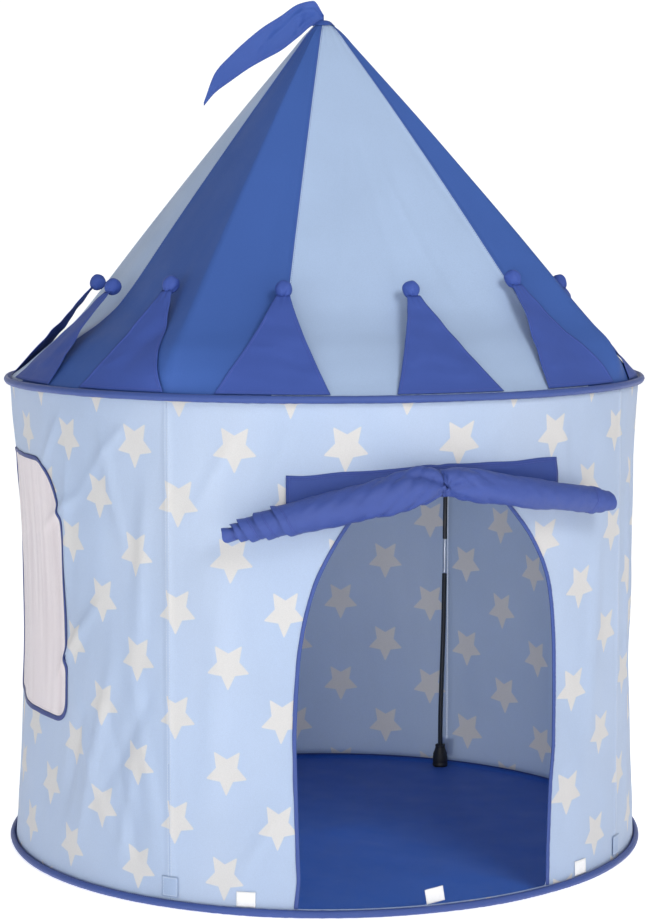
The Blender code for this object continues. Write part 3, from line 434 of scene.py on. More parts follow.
def cloth_material(name, colour, roughness=0.48, shine=0.4, sheen=0.06, glow=0.0, star_pitch=None, crease=0.0006,
                   thread=0.00055, painted_sheen=0.0):
    """Woven polyester: a plain weave, soft creases, uneven dye, a little sheen, light that comes through and painted
    sheen.
    """
    nodes = Material(name)
    noise, spread, mix, calc = nodes.noise, nodes.spread, nodes.mix, nodes.calc
    on_cloth, in_space = nodes.add("TexCoord", {}, "UV"), nodes.add("TexCoord", {}, "Object")
    bright = tuple(min(c * 1.04, 1.0) for c in colour)
    base = mix(spread(noise(in_space, 5.0), 0.0, 1.0), tuple(c * 0.95 for c in colour), bright)
    # Painted sheen: soft upright streaks mixed towards a whitish colour, standing in for the satin's highlights
    if painted_sheen:
        base = mix(spread(noise(in_space, 4.2, 3.0, (1.0, 1.0, 0.32)), 0.0, painted_sheen), base, PAINTED_SHEEN)
    if star_pitch:
        base = mix(star_mask(nodes, on_cloth, star_pitch), base, STAR_WHITE)
    flecks = spread(noise(in_space, 900.0, 0.0), 0.97, 1.03)
    base = mix(1.0, base, nodes.add("CombineColor", dict.fromkeys(range(3), flecks)), "MULTIPLY")
    warp, weft = (calc("SINE", calc("MULTIPLY", axis, TAU / thread)) for axis in nodes.axes(on_cloth))
    soft = nodes.bump(noise(in_space, 26.0, 3.0, (1.0, 1.0, 0.55)), crease)
    normal = nodes.bump(calc("MULTIPLY", warp, weft), thread * 0.07, soft)
    gloss = spread(noise(in_space, 14.0, 3.0), roughness - 0.05, roughness + 0.07)
    nodes.dress(Base_Color=base, Roughness=gloss, Specular_IOR_Level=shine, Sheen_Weight=sheen, Sheen_Roughness=0.45,
                Normal=normal)
    if glow:
        through = nodes.add("BsdfTranslucent", {"Color": base, "Normal": normal})
        nodes.end_with(nodes.add("MixShader", {0: glow, 1: nodes.shader.outputs[0], 2: through}))
    return nodes.data


def plain_material(name, colour, roughness, metallic=0.0, grain=400.0, depth=0.00005):
    """Moulded, drawn or sheathed: fine grain, uneven gloss and a little uneven colour."""
    nodes = Material(name)
    place = nodes.add("TexCoord", {}, "Object")
    dark, bright = tuple(c * 0.94 for c in colour), tuple(min(c * 1.06, 1.0) for c in colour)
    gloss = nodes.spread(nodes.noise(place, 120.0, 3.0), roughness - 0.06, roughness + 0.08)
    nodes.dress(Base_Color=nodes.mix(nodes.spread(nodes.noise(place, 60.0, 3.0), 0.0, 1.0), dark, bright),
                Roughness=gloss, Metallic=metallic, Specular_IOR_Level=0.5,
                Normal=nodes.bump(nodes.noise(place, grain, 3.0), depth))
    return nodes.data


def net_material():
    """A fine knitted net, whose small holes let light through."""
    nodes = Material("window_net")
    place = nodes.add("TexCoord", {}, "UV")
    cell = nodes.calc("MULTIPLY", *(nodes.calc("SINE", nodes.calc("MULTIPLY", axis, TAU / NET_PITCH))
                                    for axis in nodes.axes(place)))
    streak = nodes.noise(place, 9.0, 3.0, (6.0, 0.35, 1.0))
    base = nodes.mix(nodes.spread(streak, 0.0, 1.0), (0.79, 0.70, 0.72), (0.94, 0.86, 0.87))
    nodes.dress(Base_Color=base, Roughness=nodes.spread(streak, 0.55, 0.7), Sheen_Weight=0.2,
                Normal=nodes.bump(cell, 0.0001))
    through = nodes.add("BsdfTranslucent", {"Color": base})
    body = nodes.add("MixShader", {0: 0.2, 1: nodes.shader.outputs[0], 2: through})
    hole = nodes.spread(cell, 0.0, 0.55, 0.55, 0.85)
    nodes.end_with(nodes.add("MixShader", {0: hole, 1: body, 2: nodes.add("BsdfTransparent", {})}))
    return nodes.data


NET_PITCH = 0.0016
PALE_BLUE = (0.425, 0.54, 0.75)
NAVY = (0.036, 0.072, 0.27)
FRONT_PITCH, LEFT_PITCH, BACK_PITCH = 0.161, 0.1447, 0.1656
# The printed walls' colour carries painted sheen streaks
wall_cloth = {
    pitch: cloth_material(f"wall_cloth_{index}", PALE_BLUE, roughness=0.52, shine=0.95, glow=0.22, painted_sheen=0.20,
                          crease=0.0012, star_pitch=pitch)
    for index, pitch in enumerate((FRONT_PITCH, LEFT_PITCH, BACK_PITCH))
}
plain_wall_cloth = cloth_material("plain_wall", PALE_BLUE, glow=0.28)
light_cloth = cloth_material("light_roof", (0.375, 0.49, 0.70), shine=0.25, glow=0.08)
dark_cloth = cloth_material("dark_roof", (0.046, 0.104, 0.345), roughness=0.58, shine=0.1, sheen=0.0)
crown_cloth = cloth_material("crown", (0.047, 0.086, 0.33), roughness=0.55, shine=0.14, sheen=0.0, crease=0.0010)
flap_cloth = cloth_material("flap", (0.044, 0.076, 0.29), shine=0.25, sheen=0.02, crease=0.0026)
# Painted shade: the header is the flap's cloth made darker in its colour
header_shaded_cloth = cloth_material("header", (0.036, 0.068, 0.27), shine=0.2, sheen=0.0, crease=0.0022)
flag_cloth = cloth_material("flag", (0.038, 0.088, 0.34), shine=0.25, sheen=0.0)
floor_cloth = cloth_material("floor", (0.024, 0.115, 0.50), shine=0.2)
tape_cloth = cloth_material("tape", NAVY, thread=0.0008, crease=0.0002)
window_tape_cloth = cloth_material("window_tape", (0.026, 0.046, 0.19), shine=0.25, thread=0.0008, crease=0.0002)
nap = cloth_material("hook_and_loop", (0.80, 0.80, 0.82), roughness=0.85, shine=0.2, sheen=0.5, thread=0.0009,
                     crease=0.0004)
navy_thread = plain_material("navy_thread", (0.06, 0.085, 0.36), 0.55, grain=1500.0)
pale_thread = plain_material("pale_thread", (0.62, 0.68, 0.80), 0.55, grain=1500.0)
white_thread = plain_material("white_thread", (0.78, 0.78, 0.80), 0.55, grain=1500.0)
sheath = plain_material("rod_sheath", (0.012, 0.016, 0.022), 0.42, grain=300.0)
bright_steel = plain_material("bright_steel", (0.66, 0.70, 0.75), 0.36, metallic=1.0, grain=250.0, depth=0.000004)
spring_steel = plain_material("spring_steel", (0.36, 0.37, 0.39), 0.36, metallic=1.0, grain=250.0, depth=0.00002)
rubber = plain_material("boot_rubber", (0.012, 0.012, 0.014), 0.55, grain=700.0)
net = net_material()


# Wall

# Along the wall from the doorway's middle and height of one end, the same of the other end, then width and height
WALL_CREASES = (
    (-0.47, 0.40, -0.40, 0.02, 0.012, 0.0014),
    (-0.53, 0.34, -0.44, 0.03, 0.009, -0.0010),
    (-0.60, 0.30, -0.49, 0.06, 0.010, 0.0012),
    (-0.43, 0.22, -0.385, 0.02, 0.007, 0.0010),
    (-0.66, 0.30, -0.52, 0.44, 0.008, 0.0014),
    (-0.70, 0.52, -0.55, 0.60, 0.008, 0.0012),
    (-0.68, 0.62, -0.60, 0.72, 0.007, 0.0012),
    (-0.47, 0.50, -0.52, 0.70, 0.009, 0.0013),
    (-0.56, 0.60, -0.45, 0.715, 0.007, 0.0010),
    (-0.36, 0.56, -0.28, 0.70, 0.010, 0.0010),
    (-0.30, 0.03, -0.22, 0.16, 0.010, 0.0010),
    (-0.58, 0.05, -0.50, 0.36, 0.012, 0.0016),
    (-0.63, 0.08, -0.56, 0.30, 0.014, -0.0014),
    (-0.49, 0.03, -0.45, 0.24, 0.010, 0.0012),
    (-0.53, 0.14, -0.41, 0.33, 0.010, -0.0010),
    (-0.62, 0.42, -0.60, 0.66, 0.010, 0.0012),
    (-0.45, 0.36, -0.43, 0.62, 0.012, 0.0014),
    (-0.33, 0.10, -0.31, 0.55, 0.022, 0.0014),
    (-0.25, 0.60, -0.20, 0.715, 0.008, 0.0008),
    (0.08, 0.675, 0.13, 0.715, 0.007, 0.0007),
    (-0.06, 0.68, -0.09, 0.715, 0.006, 0.0006),
    (0.30, 0.16, 0.33, 0.60, 0.018, 0.0014),
    (0.45, 0.10, 0.44, 0.64, 0.014, 0.0014),
    (0.24, 0.60, 0.22, 0.71, 0.008, 0.0007),
    (0.55, 0.30, 0.50, 0.66, 0.014, 0.0012),
)
WALL_CREASE_GAIN = 3.6


def from_rod(azimuth):
    """The angle from the nearest rod."""
    return np.abs((np.asarray(azimuth) % QUARTER) - QUARTER / 2)


def wall_folds(azimuth, height):
    along = WALL_RADIUS * np.asarray(azimuth)
    away = ramp(from_rod(azimuth) * WALL_RADIUS, 0.0, 0.05)
    middle = ramp(height, WALL_LOW + 0.006, WALL_LOW + 0.07) * ramp(-height, -WALL_HIGH + 0.006, -WALL_HIGH + 0.07)
    soft = 0.0011 * ripple(along, height * 0.28, 0.13, 3) + 0.0005 * ripple(along, height * 0.45, 0.05, 4)
    lines = WALL_CREASE_GAIN * ridges(along, height, WALL_CREASES)
    rise = (height - HEM_TOP) / 0.020
    drop = (EAVE_HEIGHT - HEM_HEIGHT / 2 - height) / 0.024
    at_foot, at_head = (np.exp(-np.clip(away, 0, 40)) * ramp(away, 0, 0.4) for away in (rise, drop))
    gathers = 0.0006 * ripple(along, height * 0.2, 0.017, 5) * (0.6 + 0.5 * ripple(along, 0 * along, 0.12, 6))
    over_rod = 0.0012 * np.exp(-(((np.asarray(azimuth) + QUARTER / 2) * WALL_RADIUS / 0.012) ** 2)) * middle
    return (soft + lines) * middle * away + gathers * (at_foot + 1.3 * at_head) * (0.35 + 0.65 * away) + over_rod


def wall_radius(azimuth, height):
    """The cloth is drawn in between the rods, most at mid height."""
    share = np.clip((height - WALL_LOW) / (WALL_HIGH - WALL_LOW), 0, 1)
    drawn_in = WAIST_DEPTH * np.abs(np.cos(2 * azimuth)) * np.sin(pi * share)
    return WALL_RADIUS - drawn_in + wall_folds(azimuth, height)


def wall_azimuth(x, height, turn=0.0):
    """The angle from a panel's middle of the point at a distance x across it."""
    angle = np.arcsin(x / WALL_RADIUS)
    for _ in range(3):
        angle = np.arcsin(np.clip(x / wall_radius(turn + angle, height), -1, 1))
    return angle


def to_outline(x, z, outline):
    """Each point's nearest point on a closed outline, and whether the outline holds it."""
    start = np.array(outline)[:-1]
    end = np.array(outline)[1:]
    run = end - start
    point = np.stack([x, z], -1)[..., None, :]
    part = np.clip(((point - start) * run).sum(-1) / (run * run).sum(-1), 0, 1)
    foot = start + part[..., None] * run
    best = np.linalg.norm(point - foot, axis=-1).argmin(-1)
    nearest = np.take_along_axis(foot, best[..., None, None], -2)[..., 0, :]
    crosses = (start[:, 1] > z[..., None]) != (end[:, 1] > z[..., None])
    at = start[:, 0] + (z[..., None] - start[:, 1]) * run[:, 0] / np.where(run[:, 1] == 0, 1, run[:, 1])
    return nearest, (crosses & (x[..., None] < at)).sum(-1) % 2 == 1


def fit_to_outline(azimuth, height, outline, turn, keep_inside):
    """Moves the points beside an outline onto it, and says which faces stay."""
    x = wall_radius(turn + azimuth, height) * np.sin(azimuth)
    centre_x, centre_z = ((g[:-1, :-1] + g[1:, :-1] + g[:-1, 1:] + g[1:, 1:]) / 4 for g in (x, height))
    keep = to_outline(centre_x, centre_z, outline)[1] == keep_inside
    near_kept, near_gone = np.zeros(x.shape, bool), np.zeros(x.shape, bool)
    for rows in (slice(0, -1), slice(1, None)):
        for columns in (slice(0, -1), slice(1, None)):
            near_kept[rows, columns] |= keep
            near_gone[rows, columns] |= ~keep
    edge = near_kept & near_gone
    nearest, _ = to_outline(x[edge], height[edge], outline)
    height[edge] = nearest[:, 1]
    azimuth[edge] = wall_azimuth(nearest[:, 0], nearest[:, 1], turn)
    return keep


# Across and up, from the left foot over the arch to the right foot
DOOR_EDGE = (
    (-0.1945, 0.0119), (-0.1905, 0.060), (-0.1915, 0.130), (-0.1930, 0.240), (-0.1905, 0.310), (-0.1865, 0.370),
    (-0.1780, 0.425), (-0.1650, 0.475), (-0.1500, 0.512), (-0.1280, 0.552), (-0.1020, 0.586), (-0.0700, 0.611),
    (-0.0360, 0.623), (0.0, 0.625), (0.0400, 0.624), (0.0770, 0.613), (0.1095, 0.589), (0.1385, 0.558),
    (0.1650, 0.523), (0.1845, 0.488), (0.1965, 0.452), (0.2030, 0.410), (0.2060, 0.360), (0.2070, 0.290),
    (0.2060, 0.225), (0.1985, 0.160), (0.1945, 0.110), (0.1915, 0.060), (0.1900, 0.0119),
)


def door_outline():
    edge = np.array(DOOR_EDGE)
    gone = distances(edge)
    line = smooth_table(np.column_stack([gone, edge]), np.linspace(0, gone[-1], 160))
    line[0, 1] = line[-1, 1] = HEM_TOP + GAP
    return line


WINDOW_NARROWED = 0.007
WINDOW_RAISED = 0.004
WINDOW_TALL_ROUND = 0.125


def window_outline(inset=0.0, steps=16):
    """Clockwise from the lower left, with long soft top corners, and back to its start."""
    half = WINDOW_WIDTH / 2 - inset - WINDOW_NARROWED
    low, high = WINDOW_SILL + inset + WINDOW_RAISED, WINDOW_SILL + WINDOW_HEIGHT - inset
    top, tall, bottom = WINDOW_TOP_ROUND - inset, WINDOW_TALL_ROUND - inset, WINDOW_BOTTOM_ROUND - inset
    points = []
    for x, z, wide, high_round, start in (
        (-half + bottom, low + bottom, bottom, bottom, 270),
        (-half + top, high - tall, top, tall, 180),
        (half - top, high - tall, top, tall, 90),
        (half - bottom, low + bottom, bottom, bottom, 0),
    ):
        for step in range(steps + 1):
            angle = radians(start - 90 * step / steps)
            points.append((x + wide * cos(angle), z + high_round * sin(angle)))
    return np.array(points + points[:1])


# Degrees of azimuth, then how far the print sits below its even place there
PRINT_RISE = ((-90, -0.002), (-72, 0.001), (-58, 0.0080), (-45, 0.0103), (-27, 0.0098), (-17, 0.0076), (0, 0.002),
              (20, -0.003), (45, -0.003))
PRINT_TOP_RISE = ((-90, 0.004), (-27, 0.0055), (0, -0.001), (20, -0.006), (36, -0.003), (45, 0.0))

# The height of the print's lowest stars and from there to its highest ones
PRINT_LOW, PRINT_TALL = 0.06, 0.613
# Degrees that the front's print is set aside at its right edge, and where the right panel's own spacing starts
PRINT_ASIDE, RIGHT_PRINT = 1.35, 62


def print_place(side, azimuth, height):
    """Where a point of the wall lies on the printed cloth. The print leans and spreads a little from panel to panel.
    middle and pitch are the degrees of the front's middle column of stars and from one column to the next."""
    degrees = np.degrees(azimuth)
    t = (height - PRINT_LOW) / PRINT_TALL
    middle, pitch = -0.15 + 4.45 * t, 17.7 + 1.5 * t
    shift = 0.35 + 0.6 * ramp(t, 0.55, 0.95)
    aside = shift * ramp(-degrees, 20, 28) * ramp(degrees, -50, -42)
    aside = aside + PRINT_ASIDE * ramp(degrees, 22, 30) * ramp(-t, -0.98, -0.85)
    front = (degrees - aside - middle) / pitch
    rise = np.interp(degrees, *zip(*PRINT_RISE))
    top_rise = np.interp(degrees, *zip(*PRINT_TOP_RISE))
    height = height + rise + (top_rise - rise) * ramp(height, 0.52, 0.66)
    if side == "left":
        return np.stack([LEFT_PITCH * (degrees + 51.5) / 16.6, height], -1)
    if side == "back":
        return np.stack([BACK_PITCH * ((degrees % 360 - 148.4) / 19.2 + 8), height], -1)
    if side == "right":
        start = (RIGHT_PRINT - PRINT_ASIDE - middle) / pitch
        beyond = start + (degrees - RIGHT_PRINT) / ((120.6 + 2.0 * t - RIGHT_PRINT) / (6.5 - start))
        front = np.where(degrees > RIGHT_PRINT, beyond, front)
    return np.stack([FRONT_PITCH * front, height], -1)


# The folded cloth beside a wall's seam: its width, how far it is raised, how wide its step is, where its stitches lie
WALL_SEAM = 0.0036
SEAM_RAISED = 0.0007
SEAM_STEP = 0.0014
SEAM_STITCH = 0.0024


def make_walls():
    edge = QUARTER / 2 - GAP / 2 / WALL_RADIUS
    fine = [edge - arc / WALL_RADIUS for arc in (0.0, 0.0016, WALL_SEAM, WALL_SEAM + SEAM_STEP)]
    columns = np.concatenate([[-a for a in fine], np.linspace(-fine[-1], fine[-1], 104)[1:-1], fine[::-1]])
    rows = np.concatenate([[WALL_LOW], np.linspace(HEM_TOP + GAP, WALL_HIGH - 0.006, 100), [WALL_HIGH]])
    runs = []
    for index, side in enumerate(("front", "right", "back", "left")):
        turn = index * QUARTER if index < 3 else -QUARTER
        azimuth, height = np.meshgrid(columns, rows)
        keep = np.ones((len(rows) - 1, len(columns) - 1), bool)
        if side == "front":
            outline = door_outline()
            keep = fit_to_outline(azimuth, height, np.concatenate([outline, outline[:1]]), turn, False)
        if side == "left":
            keep = fit_to_outline(azimuth, height, window_outline(), turn, False)
        radius = wall_radius(turn + azimuth, height)
        radius += SEAM_RAISED * (1 - ramp(from_rod(azimuth) * WALL_RADIUS, WALL_SEAM, WALL_SEAM + SEAM_STEP))
        foot, head = (polar(TAIL_RADIUS, turn + azimuth[end], height[end]) for end in (slice(0, 1), slice(-1, None)))
        points = np.concatenate([foot, polar(radius, turn + azimuth, height), head])
        uv = print_place(side, turn + azimuth, height)
        uv = np.concatenate([uv[:1] - (0, SEAM_TAIL), uv, uv[-1:] + (0, SEAM_TAIL)])
        keep = np.pad(keep, ((1, 1), (0, 0)), constant_values=True)
        pitch = {"left": LEFT_PITCH, "back": BACK_PITCH}.get(side, FRONT_PITCH)
        wall = grid_piece(f"{side}_wall", points, wall_cloth[pitch], uv, keep)
        settle(wall, "printed_wall_cloth", f"wall_{side}", flat=(0.79, 0.745), held="hung", rests_on=["eave_hoop"],
               area={"front": 0.352, "left": 0.462}.get(side))
        heights = np.linspace(HEM_TOP + 0.004, WALL_HIGH - 0.008, 120)
        for offset in (-SEAM_STITCH, SEAM_STITCH):
            seam = turn + QUARTER / 2 + offset / WALL_RADIUS + 0 * heights
            face = wall_radius(seam, heights) + SEAM_RAISED
            runs.append((polar(face, seam, heights), polar(1.0, seam, 0.0)))
    make_stitches("wall_stitches", runs, pale_thread)


WINDOW_BINDING_LEG = BINDING_LEG * 1.3
BINDING_STITCH_SHARE = 0.72


def sweep_tape(name, node, outline, turn, leg, closed, seed, material):
    """Tape folded over the cloth's edge along an outline of (x, z) points, with its two lines of stitching."""
    pitch, reach, fold = 0.0035, 0.002, 0.0009
    path = resample(outline, pitch)
    if not closed:
        path = np.concatenate([outline[:1], path, outline[-1:]])
    x, z = path.T

    def spot(dx, dz):
        angle = turn + wall_azimuth(x + dx, z + dz, turn)
        return polar(wall_radius(angle, z + dz), angle, z + dz)

    centre = spot(0, 0)
    normal = unit(np.cross(spot(reach, 0) - spot(-reach, 0), spot(0, reach) - spot(0, -reach)))
    along = unit(np.roll(centre, -1, 0) - np.roll(centre, 1, 0) if closed else np.gradient(centre, axis=0))
    inward = unit(np.cross(along, normal))
    run = np.arange(len(path)) * pitch
    length = leg * (1 + 0.05 * ripple(run, 0 * run, 0.05, seed))
    inner = CLOTH / 2 + BINDING_SLACK * 0.7
    outer = inner + BINDING_THICKNESS
    outer_side = [(outer, -1.0, 0.0), (outer * 1.06, -0.75, 0.0), (outer * 1.12, -0.35, 0.0), (outer, 0.0, 0.0)]
    bend = [(outer * cos(a), 0.0, fold * sin(a)) for a in np.linspace(0, pi, 7)[1:-1]]
    section = outer_side + bend + [(-o, l, f) for o, l, f in reversed(outer_side)]
    section += [(-inner, -1.0, 0.0), (-inner, 0.0, 0.0), (inner, 0.0, 0.0), (inner, -1.0, 0.0)]
    pucker = 0.00016 * ripple(run, 0 * run, 0.007, seed + 1)
    rows = []
    for out, share, beyond in section:
        lift = out + np.sign(out) * pucker * (abs(share) > 0.2) * (abs(out) > inner)
        rows.append(centre + normal * lift[:, None] + inward * (share * length + beyond)[:, None])
    across = np.cumsum([0.0] + [hypot(a[0] - b[0], (a[1] - b[1]) * leg) for a, b in zip(section, section[1:])])
    uv = plane(run[:, None], across[None, :])
    tape = grid_piece(name, np.stack(rows, 1), material, uv, round_u=True, round_v=closed)
    settle(tape, "blue_binding", node)
    runs = []
    for side in (1, -1):
        line = centre + normal * (side * outer * 1.08) - inward * (BINDING_STITCH_SHARE * length)[:, None]
        both = np.concatenate([line, normal * side], 1)
        both = np.concatenate([both, both[:1]]) if closed else both
        runs.append((both[:, :3], both[:, 3:]))
    make_stitches(f"{name}_stitches", runs, navy_thread, 2 if node == "door_binding" else 3)


def make_openings():
    sweep_tape("door_tape", "door_binding", door_outline(), 0.0, BINDING_LEG, False, 21, tape_cloth)
    sweep_tape("window_tape", "window_binding", window_outline(), -QUARTER, WINDOW_BINDING_LEG, True, 31,
               window_tape_cloth)
    half = asin((WINDOW_WIDTH / 2 + 0.01) / 0.48)
    levels = np.linspace(WINDOW_SILL - 0.006, WINDOW_SILL + WINDOW_HEIGHT + 0.006, 66)
    azimuth, height = np.meshgrid(np.linspace(-half, half, 60), levels)
    keep = fit_to_outline(azimuth, height, window_outline(0.0011), -QUARTER, True)
    points = polar(wall_radius(azimuth - QUARTER, height), azimuth - QUARTER, height)
    pane = grid_piece("window_net", points, net, plane(WALL_RADIUS * azimuth, height), keep)
    settle(pane, "window_mesh", "window_mesh", flat=(0.33, 0.39), held="stretched", rests_on=["window_tape"],
           area=0.122)


# Hems and floor


def hem_section(steps=9):
    """A fold of tape round the hoop, as shares: (out from the wall's face, up from the seam), outside then inside."""
    width, half = HEM_OUTER + TAPE / 2 - HEM_INNER, HEM_HEIGHT / 2
    angle = np.linspace(-QUARTER, QUARTER, steps)
    bulge = np.stack([width * (0.52 + 0.48 * np.cos(angle)), half * np.sin(angle) * np.abs(np.sin(angle)) ** 0.45], 1)
    lip = (TAPE + GAP) / 2 + TAPE / 2
    low = [(-SEAM_TAIL - 0.001, -lip), (-0.0004, -lip), (0.0006, -lip - 0.0008), (width * 0.2, -half * 0.86)]
    high = [(a, -b) for a, b in reversed(low)]
    outside = np.concatenate([low, bulge, high])
    inside = []
    for index, point in enumerate(outside):
        before, after = outside[max(index - 1, 0)], outside[min(index + 1, len(outside) - 1)]
        run = (after - before) / max(np.linalg.norm(after - before), 1e-9)
        inside.append(point + TAPE * np.array([-run[1], run[0]]))
    return outside, np.array(inside)


def make_hem(name, node, seam_height, lines, seed):
    outside, inside = hem_section()
    section = np.concatenate([outside, inside[::-1]])
    azimuth = TAU * np.arange(420) / 420
    x, y = HEM_OUTER * np.cos(azimuth), HEM_OUTER * np.sin(azimuth)
    wobble = 0.00030 * ripple(x, y, 0.20, seed)
    pucker = 0.00022 * ripple(x, y, 0.011, seed + 1)
    out, up = section.T
    free = ramp(out, 0.0008, 0.004)
    waist = free * (1 - ramp(out, 0.004, 0.0085))
    radius = HEM_INNER + out + (wobble[:, None] * free - 0.0002 * free)
    height = seam_height + up * (1 + (wobble[:, None] * 90 - 0.01) * free)
    height = height + np.sign(up) * pucker[:, None] * waist
    if node == "base_hem":
        height = np.maximum(height, 0.0002)
    points = polar(radius, azimuth[:, None], height)
    uv = plane(HEM_OUTER * azimuth[:, None], distances(section)[None, :])
    hem = grid_piece(name, points, tape_cloth, uv, round_u=True, round_v=True)
    settle(hem, "blue_tape", node)
    around = np.concatenate([azimuth, azimuth[:1] + TAU])
    lift = HEM_HEIGHT / 2 * 0.90 + np.concatenate([pucker, pucker[:1]]) * 0.6
    runs = [(polar(HEM_INNER + 0.0020, around, seam_height + side * lift), polar(-0.35, around, 0.94 * side))
            for side in lines]
    make_stitches(f"{name}_stitches", runs, navy_thread, seed + 2)


def make_floor_cloth():
    edge = BASE_SEAM_HEIGHT - SEAM_OFFSET
    flat = TAIL_RADIUS - 0.010
    radius = np.concatenate([[0.0005], np.linspace(0.012, flat, 54), [TAIL_RADIUS - 0.004, TAIL_RADIUS, WALL_RADIUS]])
    rise = np.concatenate([np.zeros(55), [(edge - CLOTH / 2) * 0.55, edge - CLOTH / 2, edge - CLOTH / 2]])
    r, a = np.meshgrid(radius, TAU * np.arange(200) / 200, indexing="ij")
    x, y = r * np.sin(a), -r * np.cos(a)
    swell = 0.0011 * np.clip(ripple(x, y, 0.16, 41) + 0.2, 0, 2) + 0.0006 * np.clip(ripple(x, y * 0.4, 0.05, 42), 0, 2)
    height = CLOTH / 2 + rise[:, None] + swell * ramp(-r, -flat, -flat + 0.06)
    cloth = grid_piece("floor_cloth", np.stack([x, y, height], -1), floor_cloth, plane(x, y), round_u=True)
    settle(cloth, "floor_cloth", "floor_sheet", flat=(1.0, 1.0), held="laid", rests_on=["base_hoop"], area=0.785)


# Rods

CORNERS = ("front_right", "back_right", "back_left", "front_left")
# Share of the length, share of the radius
FERRULE_SHAPE = ((0, 0.90), (0.012, 1.0), (0.06, 1.0), (0.075, 0.93), (0.09, 1.0), (0.5, 1.0), (0.91, 1.0),
                 (0.925, 0.93), (0.94, 1.0), (0.988, 1.0), (1, 0.90))
# Height, radius
BOOT_SHAPE = (
    (0.0000, 0.0118), (0.0008, 0.0134), (0.0028, 0.01375), (0.0060, 0.01365), (0.0075, 0.0128), (0.0090, 0.0134),
    (0.0180, 0.0132), (0.0205, 0.0122), (0.0225, 0.0127), (0.0250, 0.0119), (0.0290, 0.0104), (0.0335, 0.0090),
    (0.0360, 0.0086), (0.0370, 0.0091), (0.0390, 0.0090), (0.0400, 0.0078), (0.0398, ROD_RADIUS + GAP),
    (0.0070, ROD_RADIUS + GAP),
)


def rod_axis(height):
    """The rods' distance from the tent's axis at a height below the eave."""
    lean = smooth_table(ROD_LEG_SHARES, np.asarray(height) / EAVE_HEIGHT)[..., 0]
    return ROD_EAVE_RADIUS - lean * ROD_LEAN


def lathe_along(name, node, slot, profile, azimuth, material, sides=28):
    """A round piece along a rod, from (height, radius) points, outside only."""
    height, radius = np.array(profile).T
    points = ring(polar(rod_axis(height), azimuth, height), radius[:, None], TAU * np.arange(sides) / sides, azimuth)
    settle(make_piece(name, points, closed_faces(len(profile), sides), material), slot, node)


def make_rods():
    half = FERRULE_LENGTH / 2
    foot = CLOTH + GAP
    joint = foot + 0.0076 + SECTION_LENGTH
    for number, side in enumerate(CORNERS):
        azimuth = (number + 0.5) * QUARTER
        heights = np.linspace(foot + 0.0082, joint - half - 0.0012, 60)
        rod = [(heights[0] - 0.0004, ROD_RADIUS * 0.8)] + [(h, ROD_RADIUS) for h in heights]
        rod += [(heights[-1] + 0.0003, ROD_RADIUS * 0.97), (heights[-1] + 0.0006, ROD_RADIUS * 0.86)]
        lathe_along(f"rod_sheath_{side}", f"rod_lower_{side}", "rod_sheath", rod, azimuth, sheath)
        start, length = joint - half + 0.0005, FERRULE_LENGTH - 0.001
        ferrule = [(start + s * length, r * FERRULE_RADIUS) for s, r in FERRULE_SHAPE]
        lathe_along(f"ferrule_{side}", f"rod_ferrule_{side}", "bright_steel", ferrule, azimuth, bright_steel)
        boot = [(foot + h, r) for h, r in BOOT_SHAPE]
        lathe_along(f"foot_{side}", f"boot_{side}", "boot_rubber", boot, azimuth, rubber, 36)
        make_loop(side, azimuth)


LOOP_HEIGHT = 0.014


def make_loop(side, azimuth):
    """A sewn loop of tape that holds the rod under the eave's seam."""
    top = EAVE_HEIGHT - SEAM_OFFSET - CLOTH / 2 - GAP
    angle = TAU * np.arange(36) / 36
    height = np.linspace(top - LOOP_HEIGHT, top, 9)
    reach = WALL_RADIUS - CLOTH / 2 - GAP - ROD_EAVE_RADIUS
    bore = ROD_RADIUS + GAP + 0.0005
    swell = 0.0002 * np.sin(3 * angle) * np.sin(900 * height)[:, None]
    radius = bore + swell + (reach - bore - 0.0004) * np.exp(-((np.minimum(angle, TAU - angle) / 0.22) ** 2))
    points = ring(polar(ROD_EAVE_RADIUS, azimuth, height), radius, angle, azimuth)
    uv = plane((bore * angle)[None, :], height[:, None])
    loop = grid_piece(f"tape_loop_{side}", points, tape_cloth, uv, round_u=True)
    settle(loop, "blue_tape", f"rod_loop_{side}", thickness=TAPE)


# Roof


def roof_table():
    """(length up the ridge, radius at the rods, height, roundness)."""
    offset = (ROD_RADIUS + GAP + CLOTH / 2) * RIDGE_SHARE
    path = [Vector((ROD_EAVE_RADIUS, EAVE_HEIGHT))]
    path += [Vector((r * ROD_EAVE_RADIUS, EAVE_HEIGHT + z * ROOF_RISE)) for r, z in ROD_ROOF_SHARES]
    rows = [(WALL_RADIUS - CLOTH, EAVE_HEIGHT + SEAM_OFFSET, 1.0)]
    for index in range(1, len(path)):
        before = (path[index] - path[index - 1]).normalized()
        after = (path[index + 1] - path[index]).normalized() if index + 1 < len(path) else before
        bisector = (before + after).normalized()
        out = Vector((bisector.y, -bisector.x))
        point = path[index] + out * offset / out.dot(Vector((before.y, -before.x)))
        share = (point.y - EAVE_HEIGHT) / ROOF_RISE
        flare = max(1 - share / ROOF_FLARE_SHARE, 0) ** 2
        rows.append((point.x, point.y, ROOF_ROUNDNESS_SHARE + (1 - ROOF_ROUNDNESS_SHARE) * flare))
    rows.append((PEAK_RADIUS, PEAK_HEIGHT, 1.0))
    rows = np.array(rows)
    return np.column_stack([distances(rows[:, :2]), rows])


ROOF_TABLE = roof_table()
ROOF_LENGTH = ROOF_TABLE[-1, 0]
DENSE = np.linspace(0, ROOF_LENGTH, 1500)
DENSE_ROOF = smooth_table(ROOF_TABLE, DENSE)
RIDGE_ROUND = 0.0010
